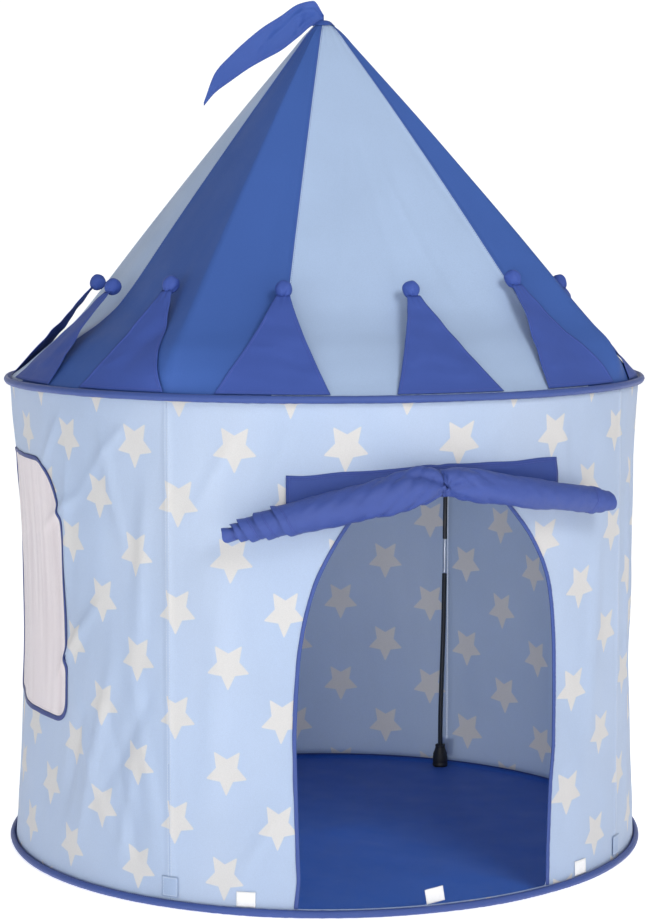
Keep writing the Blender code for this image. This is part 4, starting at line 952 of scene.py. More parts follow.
# Azimuth and length up the roof of one end, the same of the other end, then width and height
ROOF_CREASES = (
    (-0.30, 0.10, -0.12, 0.50, 0.030, 0.0012),
    (0.05, 0.08, 0.02, 0.50, 0.035, -0.0010),
    (0.30, 0.06, 0.16, 0.44, 0.030, 0.0012),
    (-0.62, 0.05, -0.55, 0.50, 0.030, -0.0012),
    (-0.95, 0.10, -0.80, 0.55, 0.035, 0.0012),
    (0.62, 0.12, 0.50, 0.52, 0.030, -0.0010),
)


def roof_folds(azimuth, length):
    """Gathers under the peak, soft pulls down the cloth and small puckers at the eave."""
    azimuth, length = np.broadcast_arrays(azimuth, length)
    flat_u, flat_v = np.sin(azimuth), np.cos(azimuth)
    near_peak = np.exp(-(ROOF_LENGTH - length) / 0.045)
    gathers = 0.0011 * near_peak * (1 - np.exp(-(ROOF_LENGTH - length) / 0.006))
    gathers = gathers * ripple(flat_u, flat_v, 0.26, 51)
    away = ramp(from_rod(azimuth), 0.0, 0.25)
    middle = ramp(length, 0.03, 0.16) * ramp(-length, -ROOF_LENGTH + 0.02, -ROOF_LENGTH + 0.2)
    wrapped = (azimuth + pi) % TAU - pi
    soft = 0.0013 * ripple(flat_u * 1.2 + length * 0.2, flat_v * 1.2, 0.75, 52) + ridges(wrapped, length, ROOF_CREASES)
    puckers = 0.0004 * np.exp(-length / 0.025) * ramp(length, 0.004, 0.012) * ripple(flat_u, flat_v, 0.05, 53)
    return gathers + soft * middle * away + puckers


def ring_share(azimuth, roundness, radius):
    """The roof's radius at an azimuth as a share of its radius at the rods: near straight between them."""
    half = QUARTER / 2
    rounding = RIDGE_ROUND / np.maximum(radius, 0.02)
    angle = np.sqrt(from_rod(azimuth) ** 2 + rounding**2)
    straight = cos(half) / np.cos(half - angle)
    return straight + (1 - straight) * roundness


def roof_point(azimuth, length, out=0.0):
    ridge = smooth_table(ROOF_TABLE, length)
    radius, height, roundness = ridge[..., 0], ridge[..., 1], ridge[..., 2]
    radius = radius * ring_share(azimuth, roundness, radius) + roof_folds(azimuth, length) + out
    return polar(radius, azimuth, height)


def roof_radius(azimuth, height):
    length = np.interp(height, DENSE_ROOF[:, 1], DENSE)
    ridge = smooth_table(ROOF_TABLE, length)
    radius = ridge[..., 0]
    return radius * ring_share(azimuth, ridge[..., 2], radius) + roof_folds(azimuth, length)


ROOF_SEAM = 0.0034


def make_roof():
    gore_angle = pi / 3
    length = np.concatenate([np.linspace(0, 0.03, 7)[:-1], np.linspace(0.03, ROOF_LENGTH, 92)])
    radius = np.maximum(smooth_table(ROOF_TABLE, length)[:, 0], PEAK_RADIUS)
    edge = gore_angle / 2 - GAP / 2 / radius
    seam = np.minimum(ROOF_SEAM / radius, gore_angle * 0.12)
    parts = np.stack([-edge, 0.45 * seam - edge, seam - edge, 1.4 * seam - edge])
    inner = np.linspace(-1, 1, 66)[1:-1, None] * (edge - 1.4 * seam)[None, :]
    columns = np.concatenate([parts, inner, -parts[::-1]]).T
    from_edge = (edge[:, None] - np.abs(columns)) * radius[:, None]
    raised = SEAM_RAISED * (1 - ramp(from_edge, ROOF_SEAM * 0.95, ROOF_SEAM * 1.35)) * ramp(radius, 0.01, 0.04)[:, None]
    uv = plane(radius[:, None] * columns, length[:, None])
    uv = np.concatenate([uv[:1] - (0, SEAM_TAIL), uv])
    up = np.linspace(0.016, ROOF_LENGTH - 0.02, 200)
    around = smooth_table(ROOF_TABLE, up)[:, 0]
    runs = []
    for number in range(6):
        azimuth = ROOF_TURN + number * gore_angle
        tail = polar(TAIL_RADIUS, azimuth + columns[:1], EAVE_HEIGHT + SEAM_OFFSET)
        points = np.concatenate([tail, roof_point(azimuth + columns, length[:, None] + 0 * columns, raised)])
        shade = "dark" if number % 2 else "light"
        gore = grid_piece(f"gore_{number + 1}", points, dark_cloth if number % 2 else light_cloth, uv)
        settle(gore, f"{shade}_roof_cloth", f"roof_gore_{number + 1}", flat=(0.53, 0.76), held="stretched",
               rests_on=["eave_hoop", "peak_hub"], area=0.205)
        for side in (-1, 1):
            angle = azimuth + gore_angle / 2 + side * ROOF_SEAM * 0.62 / around
            away = unit(roof_point(angle, up, 0.01) - roof_point(angle, up))
            runs.append((roof_point(angle, up, SEAM_RAISED), away))
    make_stitches("roof_stitches", runs, navy_thread, 7)


def make_cap():
    """The small cloth cap over the peak, drawn into pleats."""
    rise = GAP + CLOTH
    low = PEAK_HEIGHT - PEAK_CAP_DEPTH * 0.5
    skirt = float(np.interp(low, DENSE_ROOF[:, 1], DENSE_ROOF[:, 0])) + 0.0012
    edge = PEAK_RADIUS + 2 * rise
    profile = ((0.0, 0.0003, PEAK_CAP_TOP), (0.3, PEAK_RADIUS * 0.7, PEAK_CAP_TOP - 0.0001),
               (0.42, edge * 0.97, PEAK_CAP_TOP - rise * 0.8), (1.0, skirt, low))
    share = np.linspace(0, 1, 26)
    radius, height = smooth_table(profile, share).T[..., None]
    s, a = np.meshgrid(share, TAU * np.arange(90) / 90, indexing="ij")
    x, y = np.sin(a), np.cos(a)
    pleat = 0.00045 * ramp(s, 0.3, 1.0) * ripple(x, y, 0.55, 61)
    points = polar(radius + pleat, a, height + 0.0006 * ramp(s, 0.6, 1.0) * ripple(x, y, 1.1, 62))
    cap = grid_piece("peak_cap_cloth", points, flag_cloth, plane(0.012 * a, 0.02 * s), round_u=True)
    settle(cap, "dark_roof_cloth", "peak_cap", thickness=0.0004)


# Crown points


def valley(place, sharpness=0.75):
    """A wave with narrow hollows and broad tops, from -1 to 1."""
    return 2 * np.abs(np.sin(place / 2)) ** sharpness - 1


def make_knob_mesh():
    """One stuffed knob, a unit bag tied at its neck and blown up from inside. Its neck is down."""
    sides, rings = 56, 26
    angle = TAU * np.arange(sides) / sides
    turn = np.linspace(radians(16), radians(180), rings)[:, None]
    chance = np.random.default_rng(5)
    pleats = [(count, chance.uniform(0, TAU), chance.uniform(0.5, 1.0)) for count in (7, 9, 11, 13)]
    fold = sum(size * np.cos(count * angle + phase) for count, phase, size in pleats) / 2.4
    near = np.exp(-(((turn - turn[0]) / 0.55) ** 2))
    radius = np.sin(np.minimum(turn, pi - 0.05)) * (0.93 + 0.17 * near * fold)
    points = np.stack(np.broadcast_arrays(radius * np.cos(angle), radius * np.sin(angle), -np.cos(turn) * 0.96), -1)
    points = points.reshape(-1, 3)
    obj = make_piece("knob_bag", points, closed_faces(rings, sides), crown_cloth)
    obj.vertex_groups.new(name="neck").add(list(range(sides * 2)), 1.0, "REPLACE")
    modifier = obj.modifiers.new("cloth", "CLOTH")
    for key, value in {"quality": 6, "mass": 0.3, "tension_stiffness": 25, "compression_stiffness": 25,
                       "shear_stiffness": 8, "bending_stiffness": 0.4, "use_pressure": True,
                       "uniform_pressure_force": 4.0, "vertex_group_mass": "neck"}.items():
        setattr(modifier.settings, key, value)
    modifier.settings.effector_weights.gravity = 0.0
    modifier.point_cache.frame_start, modifier.point_cache.frame_end = 1, 20
    for step in range(1, 21):
        bpy.context.scene.frame_set(step)
    blown = obj.evaluated_get(bpy.context.evaluated_depsgraph_get()).to_mesh()
    reach = np.array([v.co for v in blown.vertices]) - points
    size = np.linalg.norm(reach, axis=1, keepdims=True)
    points = points + reach * np.minimum(1, 0.16 / np.maximum(size, 1e-9))
    obj.modifiers.remove(modifier)
    bpy.context.scene.frame_set(1)
    points = points / np.abs(points[:, :2]).max()
    around = np.arctan2(points[:, 1], points[:, 0])
    down = np.arccos(np.clip(-points[:, 2] / np.linalg.norm(points, axis=1), -1, 1))
    gathers = valley(7 * around + 0.6 * np.sin(2 * around), 0.6) * 0.06 + valley(11 * around + 1.0, 0.7) * 0.035
    gathers = gathers * (np.exp(-((down / 1.0) ** 2)) + 0.35 * np.exp(-(((pi - down) / 0.7) ** 2)))
    lumps = 0.030 * np.sin(3 * around + 2.4 * down) + 0.022 * np.sin(5 * around - 2.2 * down + 0.7)
    points = points * (0.97 + gathers + lumps * np.sin(down))[:, None]
    points[:, 2] -= 0.13 * ramp(points[:, 2], 0.45, 1.0)
    mesh = obj.data.copy()
    mesh.vertices.foreach_set("co", (points / np.abs(points[:, :2]).max()).astype(np.float32).ravel())
    mesh.update()
    bpy.data.objects.remove(obj)
    return mesh


# Number of a point, then degrees that its foot and its tip are turned, and how far its tip is raised
CROWN_LEANS = {
    12: (0.0, -0.5, 0.003), 11: (2.0, 3.0, 0.009), 10: (3.2, -1.6, 0.000), 9: (0.5, 0.0, 0.002),
    1: (0.0, 0.0, 0.001), 2: (-1.2, -1.8, 0.015), 3: (-3.2, -3.0, 0.004), 6: (0.8, 2.0, 0.003), 7: (0.0, -1.2, 0.000),
}

CROWN_HEM = 0.0042
# How gently a point's cloth comes to lie on the roof
CROWN_SOFTENING = 0.0012


def make_crown():
    knob_mesh = make_knob_mesh()
    for number in range(12):
        name = f"crown_{number + 1:02d}"
        azimuth = ROOF_TURN + number * pi / 6
        low = EAVE_HEIGHT + HEM_HEIGHT / 2 + GAP + CLOTH / 2
        foot_turn, tip_turn, lean_up = CROWN_LEANS.get(number + 1, (0.0, 0.0, 0.0))
        foot_turn, tip_turn = radians(foot_turn), radians(tip_turn)
        high = EAVE_HEIGHT + CROWN_RISE + lean_up
        knob = KNOB_DIAMETER / 2
        hinge = float(roof_radius(azimuth, low)) + CLOTH + CROWN_SEAT_CLEARANCE
        tip_azimuth = azimuth + tip_turn
        nearest = float(roof_radius(tip_azimuth, high))
        lean = atan2(hinge - nearest, high - low)
        tip = nearest + CROWN_LIFT + (knob * KNOB_TALL_SHARE + CROWN_CLEARANCE + CLOTH) / cos(lean)
        top = high - knob * 0.72
        heights = np.linspace(low, top, 40)
        share = (heights - low) / (high - low)
        plain = hinge + (tip - hinge) * share
        half = CROWN_NECK / 2 + (CROWN_WIDTH - CROWN_NECK) / 2 * (1 - share) ** CROWN_FLARE_POWER
        inner = half - 1.35 * CROWN_HEM
        inner = np.where(inner > 0.3 * half, inner, 0.3 * half)
        edge = [-half, -(half * 0.6 + inner * 0.4), -(half * 0.25 + inner * 0.75), -inner]
        middle = np.linspace(-1, 1, 26)[1:-1, None] * inner[None, :]
        across = np.concatenate([np.stack(edge), middle, -np.stack(edge[::-1])]).T
        angle = across / plain[:, None] + foot_turn + (tip_turn - foot_turn) * share[:, None] ** 1.3
        z = heights[:, None] + 0 * across
        s = share[:, None]
        hangs_in = number in (2, 3)
        chance = np.random.default_rng(100 + number)
        lie = 0.0011 * ripple(across, z, 0.07, 200 + number) + 0.0009 * ripple(across * 0.45, z, 0.028, 230 + number)
        folds = []
        for _ in range(4):
            side = chance.choice((-1, 1))
            foot = low + chance.uniform(0.008, 0.065)
            reach = side * chance.uniform(-0.012, 0.020)
            folds.append((side * 0.052, foot, reach, foot + chance.uniform(-0.006, 0.022),
                          chance.uniform(0.0035, 0.008), chance.choice((-1, 1)) * chance.uniform(0.0009, 0.0018)))
        lie = (lie + ridges(across, z, folds)) * ramp(s, 0.03, 0.2)
        pleat = 0.0008 * ramp(s, 0.78, 0.98) * np.cos(across / (CROWN_NECK / 2) * 5.0 + chance.uniform(0, 6))
        roof = roof_radius(azimuth + angle, z) + CLOTH
        seat = roof + np.where(s > 0.01, CROWN_CLEARANCE * 0.75, CROWN_SEAT_CLEARANCE)
        seam = roof_radius(azimuth + angle[:1], low + 0 * across[:1]) + CLOTH + CROWN_SEAT_CLEARANCE
        radius = seam + (tip - seam) * s
        if hangs_in:
            radius -= 0.75 * np.clip(radius - seat, 0, None) * np.sin(pi * np.clip(s / 0.85, 0, 1)) ** 0.8
        radius = radius + 0.0012 + lie + pleat
        curl = ramp(np.abs(across) / half[:, None], 0.55, 1.0) * (1 - ramp(s, 0.0, 0.8)) * (0.6 if hangs_in else 0.1)
        seat = seat + curl * np.minimum(roof + 0.0008 - seat, 0)
        radius = radius + curl * np.minimum(roof + 0.0008 - radius, 0)
        radius = seat + CROWN_SOFTENING * np.logaddexp(0, (radius - seat) / CROWN_SOFTENING)
        from_edge = half[:, None] - np.abs(across)
        raised = 0.0005 * (1 - ramp(from_edge, CROWN_HEM * 0.9, CROWN_HEM * 1.2)) * (1 - ramp(s, 0.75, 0.9))
        points = polar(radius + raised, azimuth + angle, z)
        turned = (tuple(polar(hinge, azimuth, low + 0.0006)),
                  tuple(polar(hinge + (tip - hinge) * 0.09, azimuth, low + (high - low) * 0.09)))
        settle(grid_piece(f"{name}_cloth", points, crown_cloth, plane(across, z)), "crown_cloth",
               f"crown_point_{number + 1:02d}", name, turned, CLOTH, flat=(0.165, 0.15), held="stretched",
               rests_on=["eave_hem_tape"], area=0.0115)

        ball = bpy.data.objects.new(f"{name}_knob", knob_mesh.copy())
        bpy.context.scene.collection.objects.link(ball)
        turn = Matrix.Rotation(azimuth, 4, "Z") @ Matrix.Rotation(-lean * 0.8, 4, "X")
        spin = Matrix.Rotation(number * 1.9, 4, "Z")
        size = Matrix.Diagonal((knob, knob, knob * KNOB_TALL_SHARE, 1))
        centre = Vector(polar(tip, tip_azimuth, high - 0.0005))
        ball.data.transform(Matrix.Translation(centre) @ turn @ size @ spin)
        settle(ball, "crown_cloth", body=name)

        normal = surface_normals(points)
        face = points + normal * (CLOTH / 2)
        runs = [(face[2:31, column], normal[2:31, column]) for column in (2, -3)]
        runs.append((face[1, 2:-2], normal[1, 2:-2]))
        make_stitches(f"{name}_stitches", runs, navy_thread, 300 + number, body=name, turn=turned)


# Door flap


def roll_axis(distance):
    """The middle of the roll at distances from the tie, and its directions along and out."""
    radius = WALL_RADIUS - WAIST_DEPTH * sin(pi * (ROLL_MIDDLE_HEIGHT - WALL_LOW) / (WALL_HIGH - WALL_LOW))
    radius += HEADER_STAND + CLOTH / 2 + GAP + ROLL_RADIUS * ROLL_FULLEST + WAIST_DEPTH * ROLL_STAND_SHARE
    limit = HEADER_HALF_ANGLE * radius
    bent = np.clip(distance, -limit, limit)
    azimuth = bent / radius
    along = polar(1.0, azimuth + QUARTER, 0.0)
    length = np.where(distance < 0, ROLL_LEFT_LENGTH, ROLL_RIGHT_LENGTH)
    droop = np.where(distance < 0, ROLL_LEFT_DROOP, ROLL_RIGHT_DROOP)
    height = ROLL_MIDDLE_HEIGHT - droop * (np.abs(distance) / length) ** ROLL_DROOP_POWER
    centre = polar(radius, azimuth, height) + along * (distance - bent)[..., None]
    out = np.stack([along[..., 1], -along[..., 0], 0 * along[..., 0]], -1)
    return centre, along, out


ROLL_TURNS = 4.8
ROLL_SIDES = 48
ROLL_START = radians(200)
# Share of the way through the roll from its core, then share of its radius
ROLL_WINDING = ((0.0, 0.30), (0.2, 0.50), (0.42, 0.66), (0.7, 0.84), (1.0, 1.0))
TIE_RISE = 0.0145
KNOT_ANGLE = radians(-42)
# Share of the roll's half length from the tie, then share of the roll's radius there
ROLL_LEFT_FULL = ((0.0, 0.74), (0.02, 0.75), (0.06, 0.90), (0.14, 1.07), (0.3, 1.10), (0.6, 1.06), (0.8, 0.99),
                  (1.0, 0.97))
ROLL_RIGHT_FULL = ((0.0, 0.74), (0.02, 0.75), (0.07, 0.86), (0.17, 0.94), (0.4, 0.93), (0.8, 0.85), (1.0, 0.82))
# Share of the roll's radius that a turn lies at, then how far it reaches
ROLL_LEFT_REACH = ((0.0, 1.0), (0.30, 1.0), (0.44, 0.99), (0.52, 0.945), (0.66, 0.925), (0.75, 0.885), (0.85, 0.83),
                   (0.93, 0.77), (1.0, 0.70))
ROLL_RIGHT_REACH = ((0.0, 1.0), (0.60, 1.0), (0.72, 0.98), (0.80, 0.955), (0.88, 0.925), (0.95, 0.90), (1.0, 0.87))


# How far stitches stand off the middle of the flap's cloth
STITCH_LIFT = 0.0003
HEADER_THICKNESS = 0.0006


def from_knot(angle):
    return (angle - KNOT_ANGLE + pi) % TAU - pi


def roll_full(distance):
    """The roll's radius along it, as a share of its even radius."""
    left = smooth_table(ROLL_LEFT_FULL, np.abs(distance) / ROLL_LEFT_LENGTH)[..., 0]
    right = smooth_table(ROLL_RIGHT_FULL, np.abs(distance) / ROLL_RIGHT_LENGTH)[..., 0]
    return np.where(distance < 0, left, right)


def roll_swell(distance, angle):
    """Folds that run out from the knot, and the soft unevenness of rolled cloth, as a share of the radius."""
    round_knot = from_knot(angle)
    v = ROLL_RADIUS * round_knot
    away = np.hypot(distance, v)
    fan = np.arctan2(v, np.abs(distance) + 0.004)
    left = distance < 0
    bend = fan + np.where(left, 5.0, 3.0) * away
    folds = 0.55 * valley(6.5 * bend + np.where(left, 0.4, 1.9), 0.5)
    folds = folds + 0.35 * valley(11 * bend + np.where(left, 2.0, 0.3), 0.5)
    folds = folds + 0.3 * valley(3.4 * bend + np.where(left, 1.2, 2.6))
    fade = np.exp(-((away / 0.075) ** 1.5)) * ramp(away, 0.001, 0.012) * (0.55 + 0.45 * np.cos(round_knot / 2))
    crease = -0.26 * np.exp(-(((distance + 0.002 + 0.05 * v) / 0.0032) ** 2)) * ramp(round_knot, -0.5, 0.2)
    x, y = np.cos(angle) * 0.02, np.sin(angle) * 0.02
    soft = 0.030 * ripple(distance * 0.5 + x, y, 0.045, 71) + 0.016 * ripple(distance + x * 1.5, y * 1.5, 0.022, 72)
    pulls = 0.05 * valley(4 * angle + 60 * distance, 1.0) * np.exp(-np.abs(distance) / 0.14)
    twist = np.where(left, valley(5 * angle - 190 * distance + 0.8, 0.5), 0.5 * valley(5 * angle + 170 * distance, 0.5))
    twist = 0.11 * twist * np.exp(-((np.abs(distance) / 0.12) ** 1.4)) * ramp(np.abs(distance), 0.004, 0.03)
    return 0.36 * folds * fade + twist + crease + soft + pulls


def round_roll(distance, radius, angle, out=None):
    """Points round the roll: a little flat behind, sagging, and lifted beside the tie. out is one outward direction
    for all of them."""
    centre, _, each_out = roll_axis(distance)
    out = each_out if out is None else out
    depth = radius * (1 - 0.07 * np.clip(-np.cos(angle), 0, 1)) * np.cos(angle)
    level = radius * (1 - 0.04 * np.sin(angle)) * np.sin(angle) + TIE_RISE * np.exp(-((np.abs(distance) / 0.10) ** 1.4))
    return centre + out * depth[..., None] + UP * level[..., None]


def make_roll():
    """One long cloth wound from its foot up, so that its turns stand out in steps at both ends."""
    turn = np.linspace(0, 1, int(ROLL_TURNS * ROLL_SIDES))
    share = smooth_table(ROLL_WINDING, turn)[:, 0]
    angle = ROLL_START - TAU * ROLL_TURNS * turn
    left = smooth_table(ROLL_LEFT_REACH, share)[:, 0] * ROLL_LEFT_LENGTH
    right = smooth_table(ROLL_RIGHT_REACH, share)[:, 0] * ROLL_RIGHT_LENGTH
    left = left + 0.007 * np.sin(angle) * ramp(turn, 0.1, 0.3) + 0.0014 * ripple(turn * 3.4, 0 * turn, 0.30, 73)
    right = right + 0.0014 * ripple(turn * 3.4, 0 * turn, 0.30, 74)
    across = np.linspace(-1, 1, 210)
    across = np.sign(across) * (0.30 * np.abs(across) + 0.70 * np.abs(across) ** 1.4)
    across[1], across[-2] = -0.988, 0.988
    distance = np.where(across < 0, across * left[:, None], across * right[:, None])
    turned = angle[:, None] + 0 * distance
    edge = np.exp(-(((1 - np.abs(across)) / 0.02) ** 2))
    radius = ROLL_RADIUS * roll_full(distance) * share[:, None] * (1 + roll_swell(distance, turned))
    hem = 0.0007 * (1 - ramp(1 - np.abs(across), 0.030, 0.036))
    radius = radius + hem + edge * (0.0006 + 0.0009 * ripple(turn[:, None] * 5, across, 0.35, 75))
    points = round_roll(distance, radius, turned)
    length = np.concatenate([[0], np.cumsum(TAU * ROLL_TURNS * ROLL_RADIUS * share[1:] * np.diff(turn))])
    settle(grid_piece("rolled_flap", points, flap_cloth, plane(distance, length[:, None])), "flap_cloth", "door_roll",
           "door_flap", FLAP_TURN, flat=(0.62, 0.47), held="folded", rests_on=["tie_band"], area=0.26)
    normal = surface_normals(points)
    from_centre = points - roll_axis(distance)[0]
    runs = []
    for column in (4, -5):
        way = normal[:, column] * np.sign((normal[:, column] * from_centre[:, column]).sum(-1, keepdims=True))
        runs.append((points[:, column] + way * STITCH_LIFT, way))
    make_stitches("roll_stitches", runs, navy_thread, 76, body="door_flap", turn=FLAP_TURN)


# Along the wall from the doorway's middle and how far down, the same of the other end, then width and height
HEADER_CREASES = (
    (-0.112, 0.0, -0.110, 0.030, 0.0025, 0.0024),
    (-0.15, 0.03, -0.02, 0.006, 0.006, 0.0022),
    (0.16, 0.008, 0.03, 0.012, 0.006, 0.0020),
    (0.10, 0.004, 0.05, 0.03, 0.006, 0.0012),
    (-0.06, 0.006, -0.02, 0.03, 0.005, 0.0014),
)


def make_header():
    """The flap's top strip, sewn along its upper edge over the arch and pulled where the tie hangs from it."""
    edge = HEADER_HALF_ANGLE
    a, s = np.meshgrid(np.linspace(-edge, edge, 90), np.linspace(0, 1, 18))
    x = WALL_RADIUS * a
    drop = (0.0125 * (1 - s) + 0.0065 * s) * np.clip(-x / 0.19, 0, 1)
    height = HEADER_TOP - HEADER_HEIGHT * s - drop
    a = a + (0.005 * s * ramp(a, 0.8 * edge, edge) - 0.0035 * ramp(-a, 0.5 * edge, edge)) / WALL_RADIUS
    height = height - 0.0022 * np.exp(-(((x - 0.004) / 0.010) ** 2)) * (1 - s)
    height = height + 0.0010 * ripple(x, 0 * x, 0.09, 81) * (1 - s)
    stand = GAP + CLOTH + (HEADER_STAND - GAP - CLOTH) * ramp(s, 0.0, 0.5)
    fan = np.arctan2(x, 0.006 + 0.034 * s)
    pull = 0.0042 * np.exp(-np.abs(x) / 0.06) * (0.5 + 0.5 * valley(9 * fan + 18 * x)) * ramp(s, 0.03, 0.35)
    soft = 0.0012 * ripple(x, height * 0.7, 0.05, 82) * ramp(s, 0.1, 0.6)
    crease = ridges(x, s * HEADER_HEIGHT, HEADER_CREASES)
    points = polar(wall_radius(a, height) + stand + np.maximum(pull + soft + crease, 0), a, height)
    # Painted shade: the header's material is the flap's cloth made darker
    settle(grid_piece("flap_header", points, header_shaded_cloth, plane(x, height)), "flap_cloth", "door_header", "door_flap",
           FLAP_TURN, HEADER_THICKNESS, flat=(0.43, 0.046), held="hung", rests_on=["front_wall"])
    normal = surface_normals(points)
    runs = []
    for line in ((1,), (2,), (slice(1, None), 1), (slice(1, None), -2)):
        place, way = points[line] - normal[line] * STITCH_LIFT, -normal[line]
        outward = polar(1.0, np.arctan2(place[:, 0], -place[:, 1]), 0.0)
        way = np.where((way * outward).sum(-1, keepdims=True) > 0, way, -way)
        runs.append((place + way * HEADER_THICKNESS, way))
    make_stitches("header_stitches", runs, navy_thread, 83, body="door_flap", turn=FLAP_TURN)


KNOT_SIZE = 0.00125
RIBBON_WIDTH = 0.0036
RIBBON_THICKNESS = 0.0018


def make_tie():
    """A ribbon from the header's seam round the roll, drawn tight and knotted in front."""
    a, c = np.meshgrid(TAU * np.arange(90) / 90, np.linspace(-1, 1, 9), indexing="ij")
    slant = 0.002 + 0.05 * ROLL_RADIUS * from_knot(a) * ramp(from_knot(a), -0.5, 0.2)
    distance = c * (0.0021 + 0.0004 * np.sin(2 * a + 0.5)) - slant
    full = smooth_table(ROLL_LEFT_FULL, np.abs(distance) / ROLL_LEFT_LENGTH)[..., 0]
    waist = ROLL_RADIUS * full * (1 + roll_swell(distance, a)) + 0.0007 + 0.00035 * np.cos(c * 6 + 2 * a)
    centre, along, out = (value[0] for value in roll_axis(np.array([0.0])))
    points = round_roll(distance, waist, a, out)
    band = grid_piece("tie_band", points, flap_cloth, plane(waist * a, distance), round_v=True)
    settle(band, "flap_cloth", "door_tie", "door_flap", FLAP_TURN, 0.0005)

    reach = ROLL_RADIUS * ROLL_LEFT_FULL[0][1] + 0.0016
    away = out * cos(KNOT_ANGLE) + UP * sin(KNOT_ANGLE)
    over = UP * cos(KNOT_ANGLE) - out * sin(KNOT_ANGLE)
    front = centre + UP * TIE_RISE + away * reach - along * 0.0015
    t = TAU * np.arange(120) / 120
    knot = (np.sin(t) + 2 * np.sin(2 * t), -np.sin(3 * t), np.cos(t) - 2 * np.cos(2 * t))
    path = front + sum(way * (part * KNOT_SIZE)[:, None] for way, part in zip((along, away, over), knot))
    tangent = unit(np.roll(path, -1, 0) - np.roll(path, 1, 0))
    side = unit(np.cross(tangent, away[None, :]))
    lift = unit(np.cross(side, tangent))
    round_ribbon = TAU * np.arange(12) / 12
    swell = 1 + 0.14 * np.cos(4 * round_ribbon)[None, :] * np.cos(9 * t)[:, None]
    points = path[:, None] + side[:, None] * (RIBBON_WIDTH / 2 * np.cos(round_ribbon) * swell)[..., None]
    points = points + lift[:, None] * (RIBBON_THICKNESS / 2 * np.sin(round_ribbon) * swell)[..., None]
    settle(grid_piece("tie_knot", points, flap_cloth, round_u=True, round_v=True), "flap_cloth", body="door_flap",
           turn=FLAP_TURN)

    share, c = np.linspace(0, 1, 14)[:, None, None], np.linspace(-1, 1, 7)[None, :, None]
    for name, lean, length in (("tie_end_left", -0.55, 0.013), ("tie_end_right", 0.75, 0.006)):
        run = unit(along * sin(lean) + over * cos(lean))
        wide = unit(np.cross(run, away))
        spine = front + away * 0.0012 + run * (share * length) + away * (0.0022 * np.sin(share * 2.6))
        points = spine + wide * (c * (0.0016 + 0.0014 * share)) + away * (0.0005 * np.cos(c * 5 + share * 4))
        end = grid_piece(name, points, flap_cloth, plane((share * length)[..., 0], (c * 0.003)[..., 0]))
        settle(end, "flap_cloth", body="door_flap", turn=FLAP_TURN, thickness=0.0004)


# Small pieces

STITCH_INSET = 0.0022
POCKET_SIZE = (0.026, 0.030)
# Along the pennant and down it of one end, the same of the other end, then width and height
FLAG_CREASES = (
    (0.005, 0.02, 0.05, 0.012, 0.004, 0.0030),
    (0.004, 0.03, 0.06, 0.034, 0.005, -0.0026),
    (0.03, 0.0, 0.045, 0.045, 0.005, 0.0022),
    (0.075, 0.0, 0.105, 0.045, 0.007, -0.0018),
    (0.02, 0.01, 0.11, 0.026, 0.004, 0.0016),
)


def along_corners(corners, parts):
    """Points on straight lines from corner to corner, each line cut in parts, without the last corner."""
    steps = np.linspace(0, 1, parts + 1)[:-1]
    return np.array([start + (end - start) * step for start, end in zip(corners, corners[1:]) for step in steps])


def make_small_panel(name, node, slot, azimuth, low, width, height, out, material, thickness, seed, crown=0.0, **sheet):
    """A small square sewn on the wall. It returns the run of its stitching."""
    a, z = np.meshgrid(np.linspace(-1, 1, 13), np.linspace(0, 1, 11))
    angle = azimuth + a * width / 2 / WALL_RADIUS
    level = low + z * height
    edge = np.minimum(1 - np.abs(a), 2 * np.minimum(z, 1 - z))
    radius = wall_radius(angle, level) + out + crown * ramp(edge, 0.0, 0.5)
    radius = radius + 0.00012 * ripple(a * 0.01, z * 0.01, 0.01, seed)
    panel = grid_piece(name, polar(radius, angle, level), material, plane(a * width / 2, level))
    settle(panel, slot, node, thickness=thickness, **sheet)
    around = np.array([(-1, 0), (1, 0), (1, 1), (-1, 1), (-1, 0)], float)
    x, z = np.concatenate([along_corners(around, 8), around[:1]]).T
    angle = azimuth + x * (1 - STITCH_INSET * 2 / width) * width / 2 / WALL_RADIUS
    level = low + height * (STITCH_INSET / height + z * (1 - 2 * STITCH_INSET / height))
    face = wall_radius(angle, level) + out + crown * 0.2 + thickness / 2
    return polar(face, angle, level), polar(1.0, angle, 0.0)


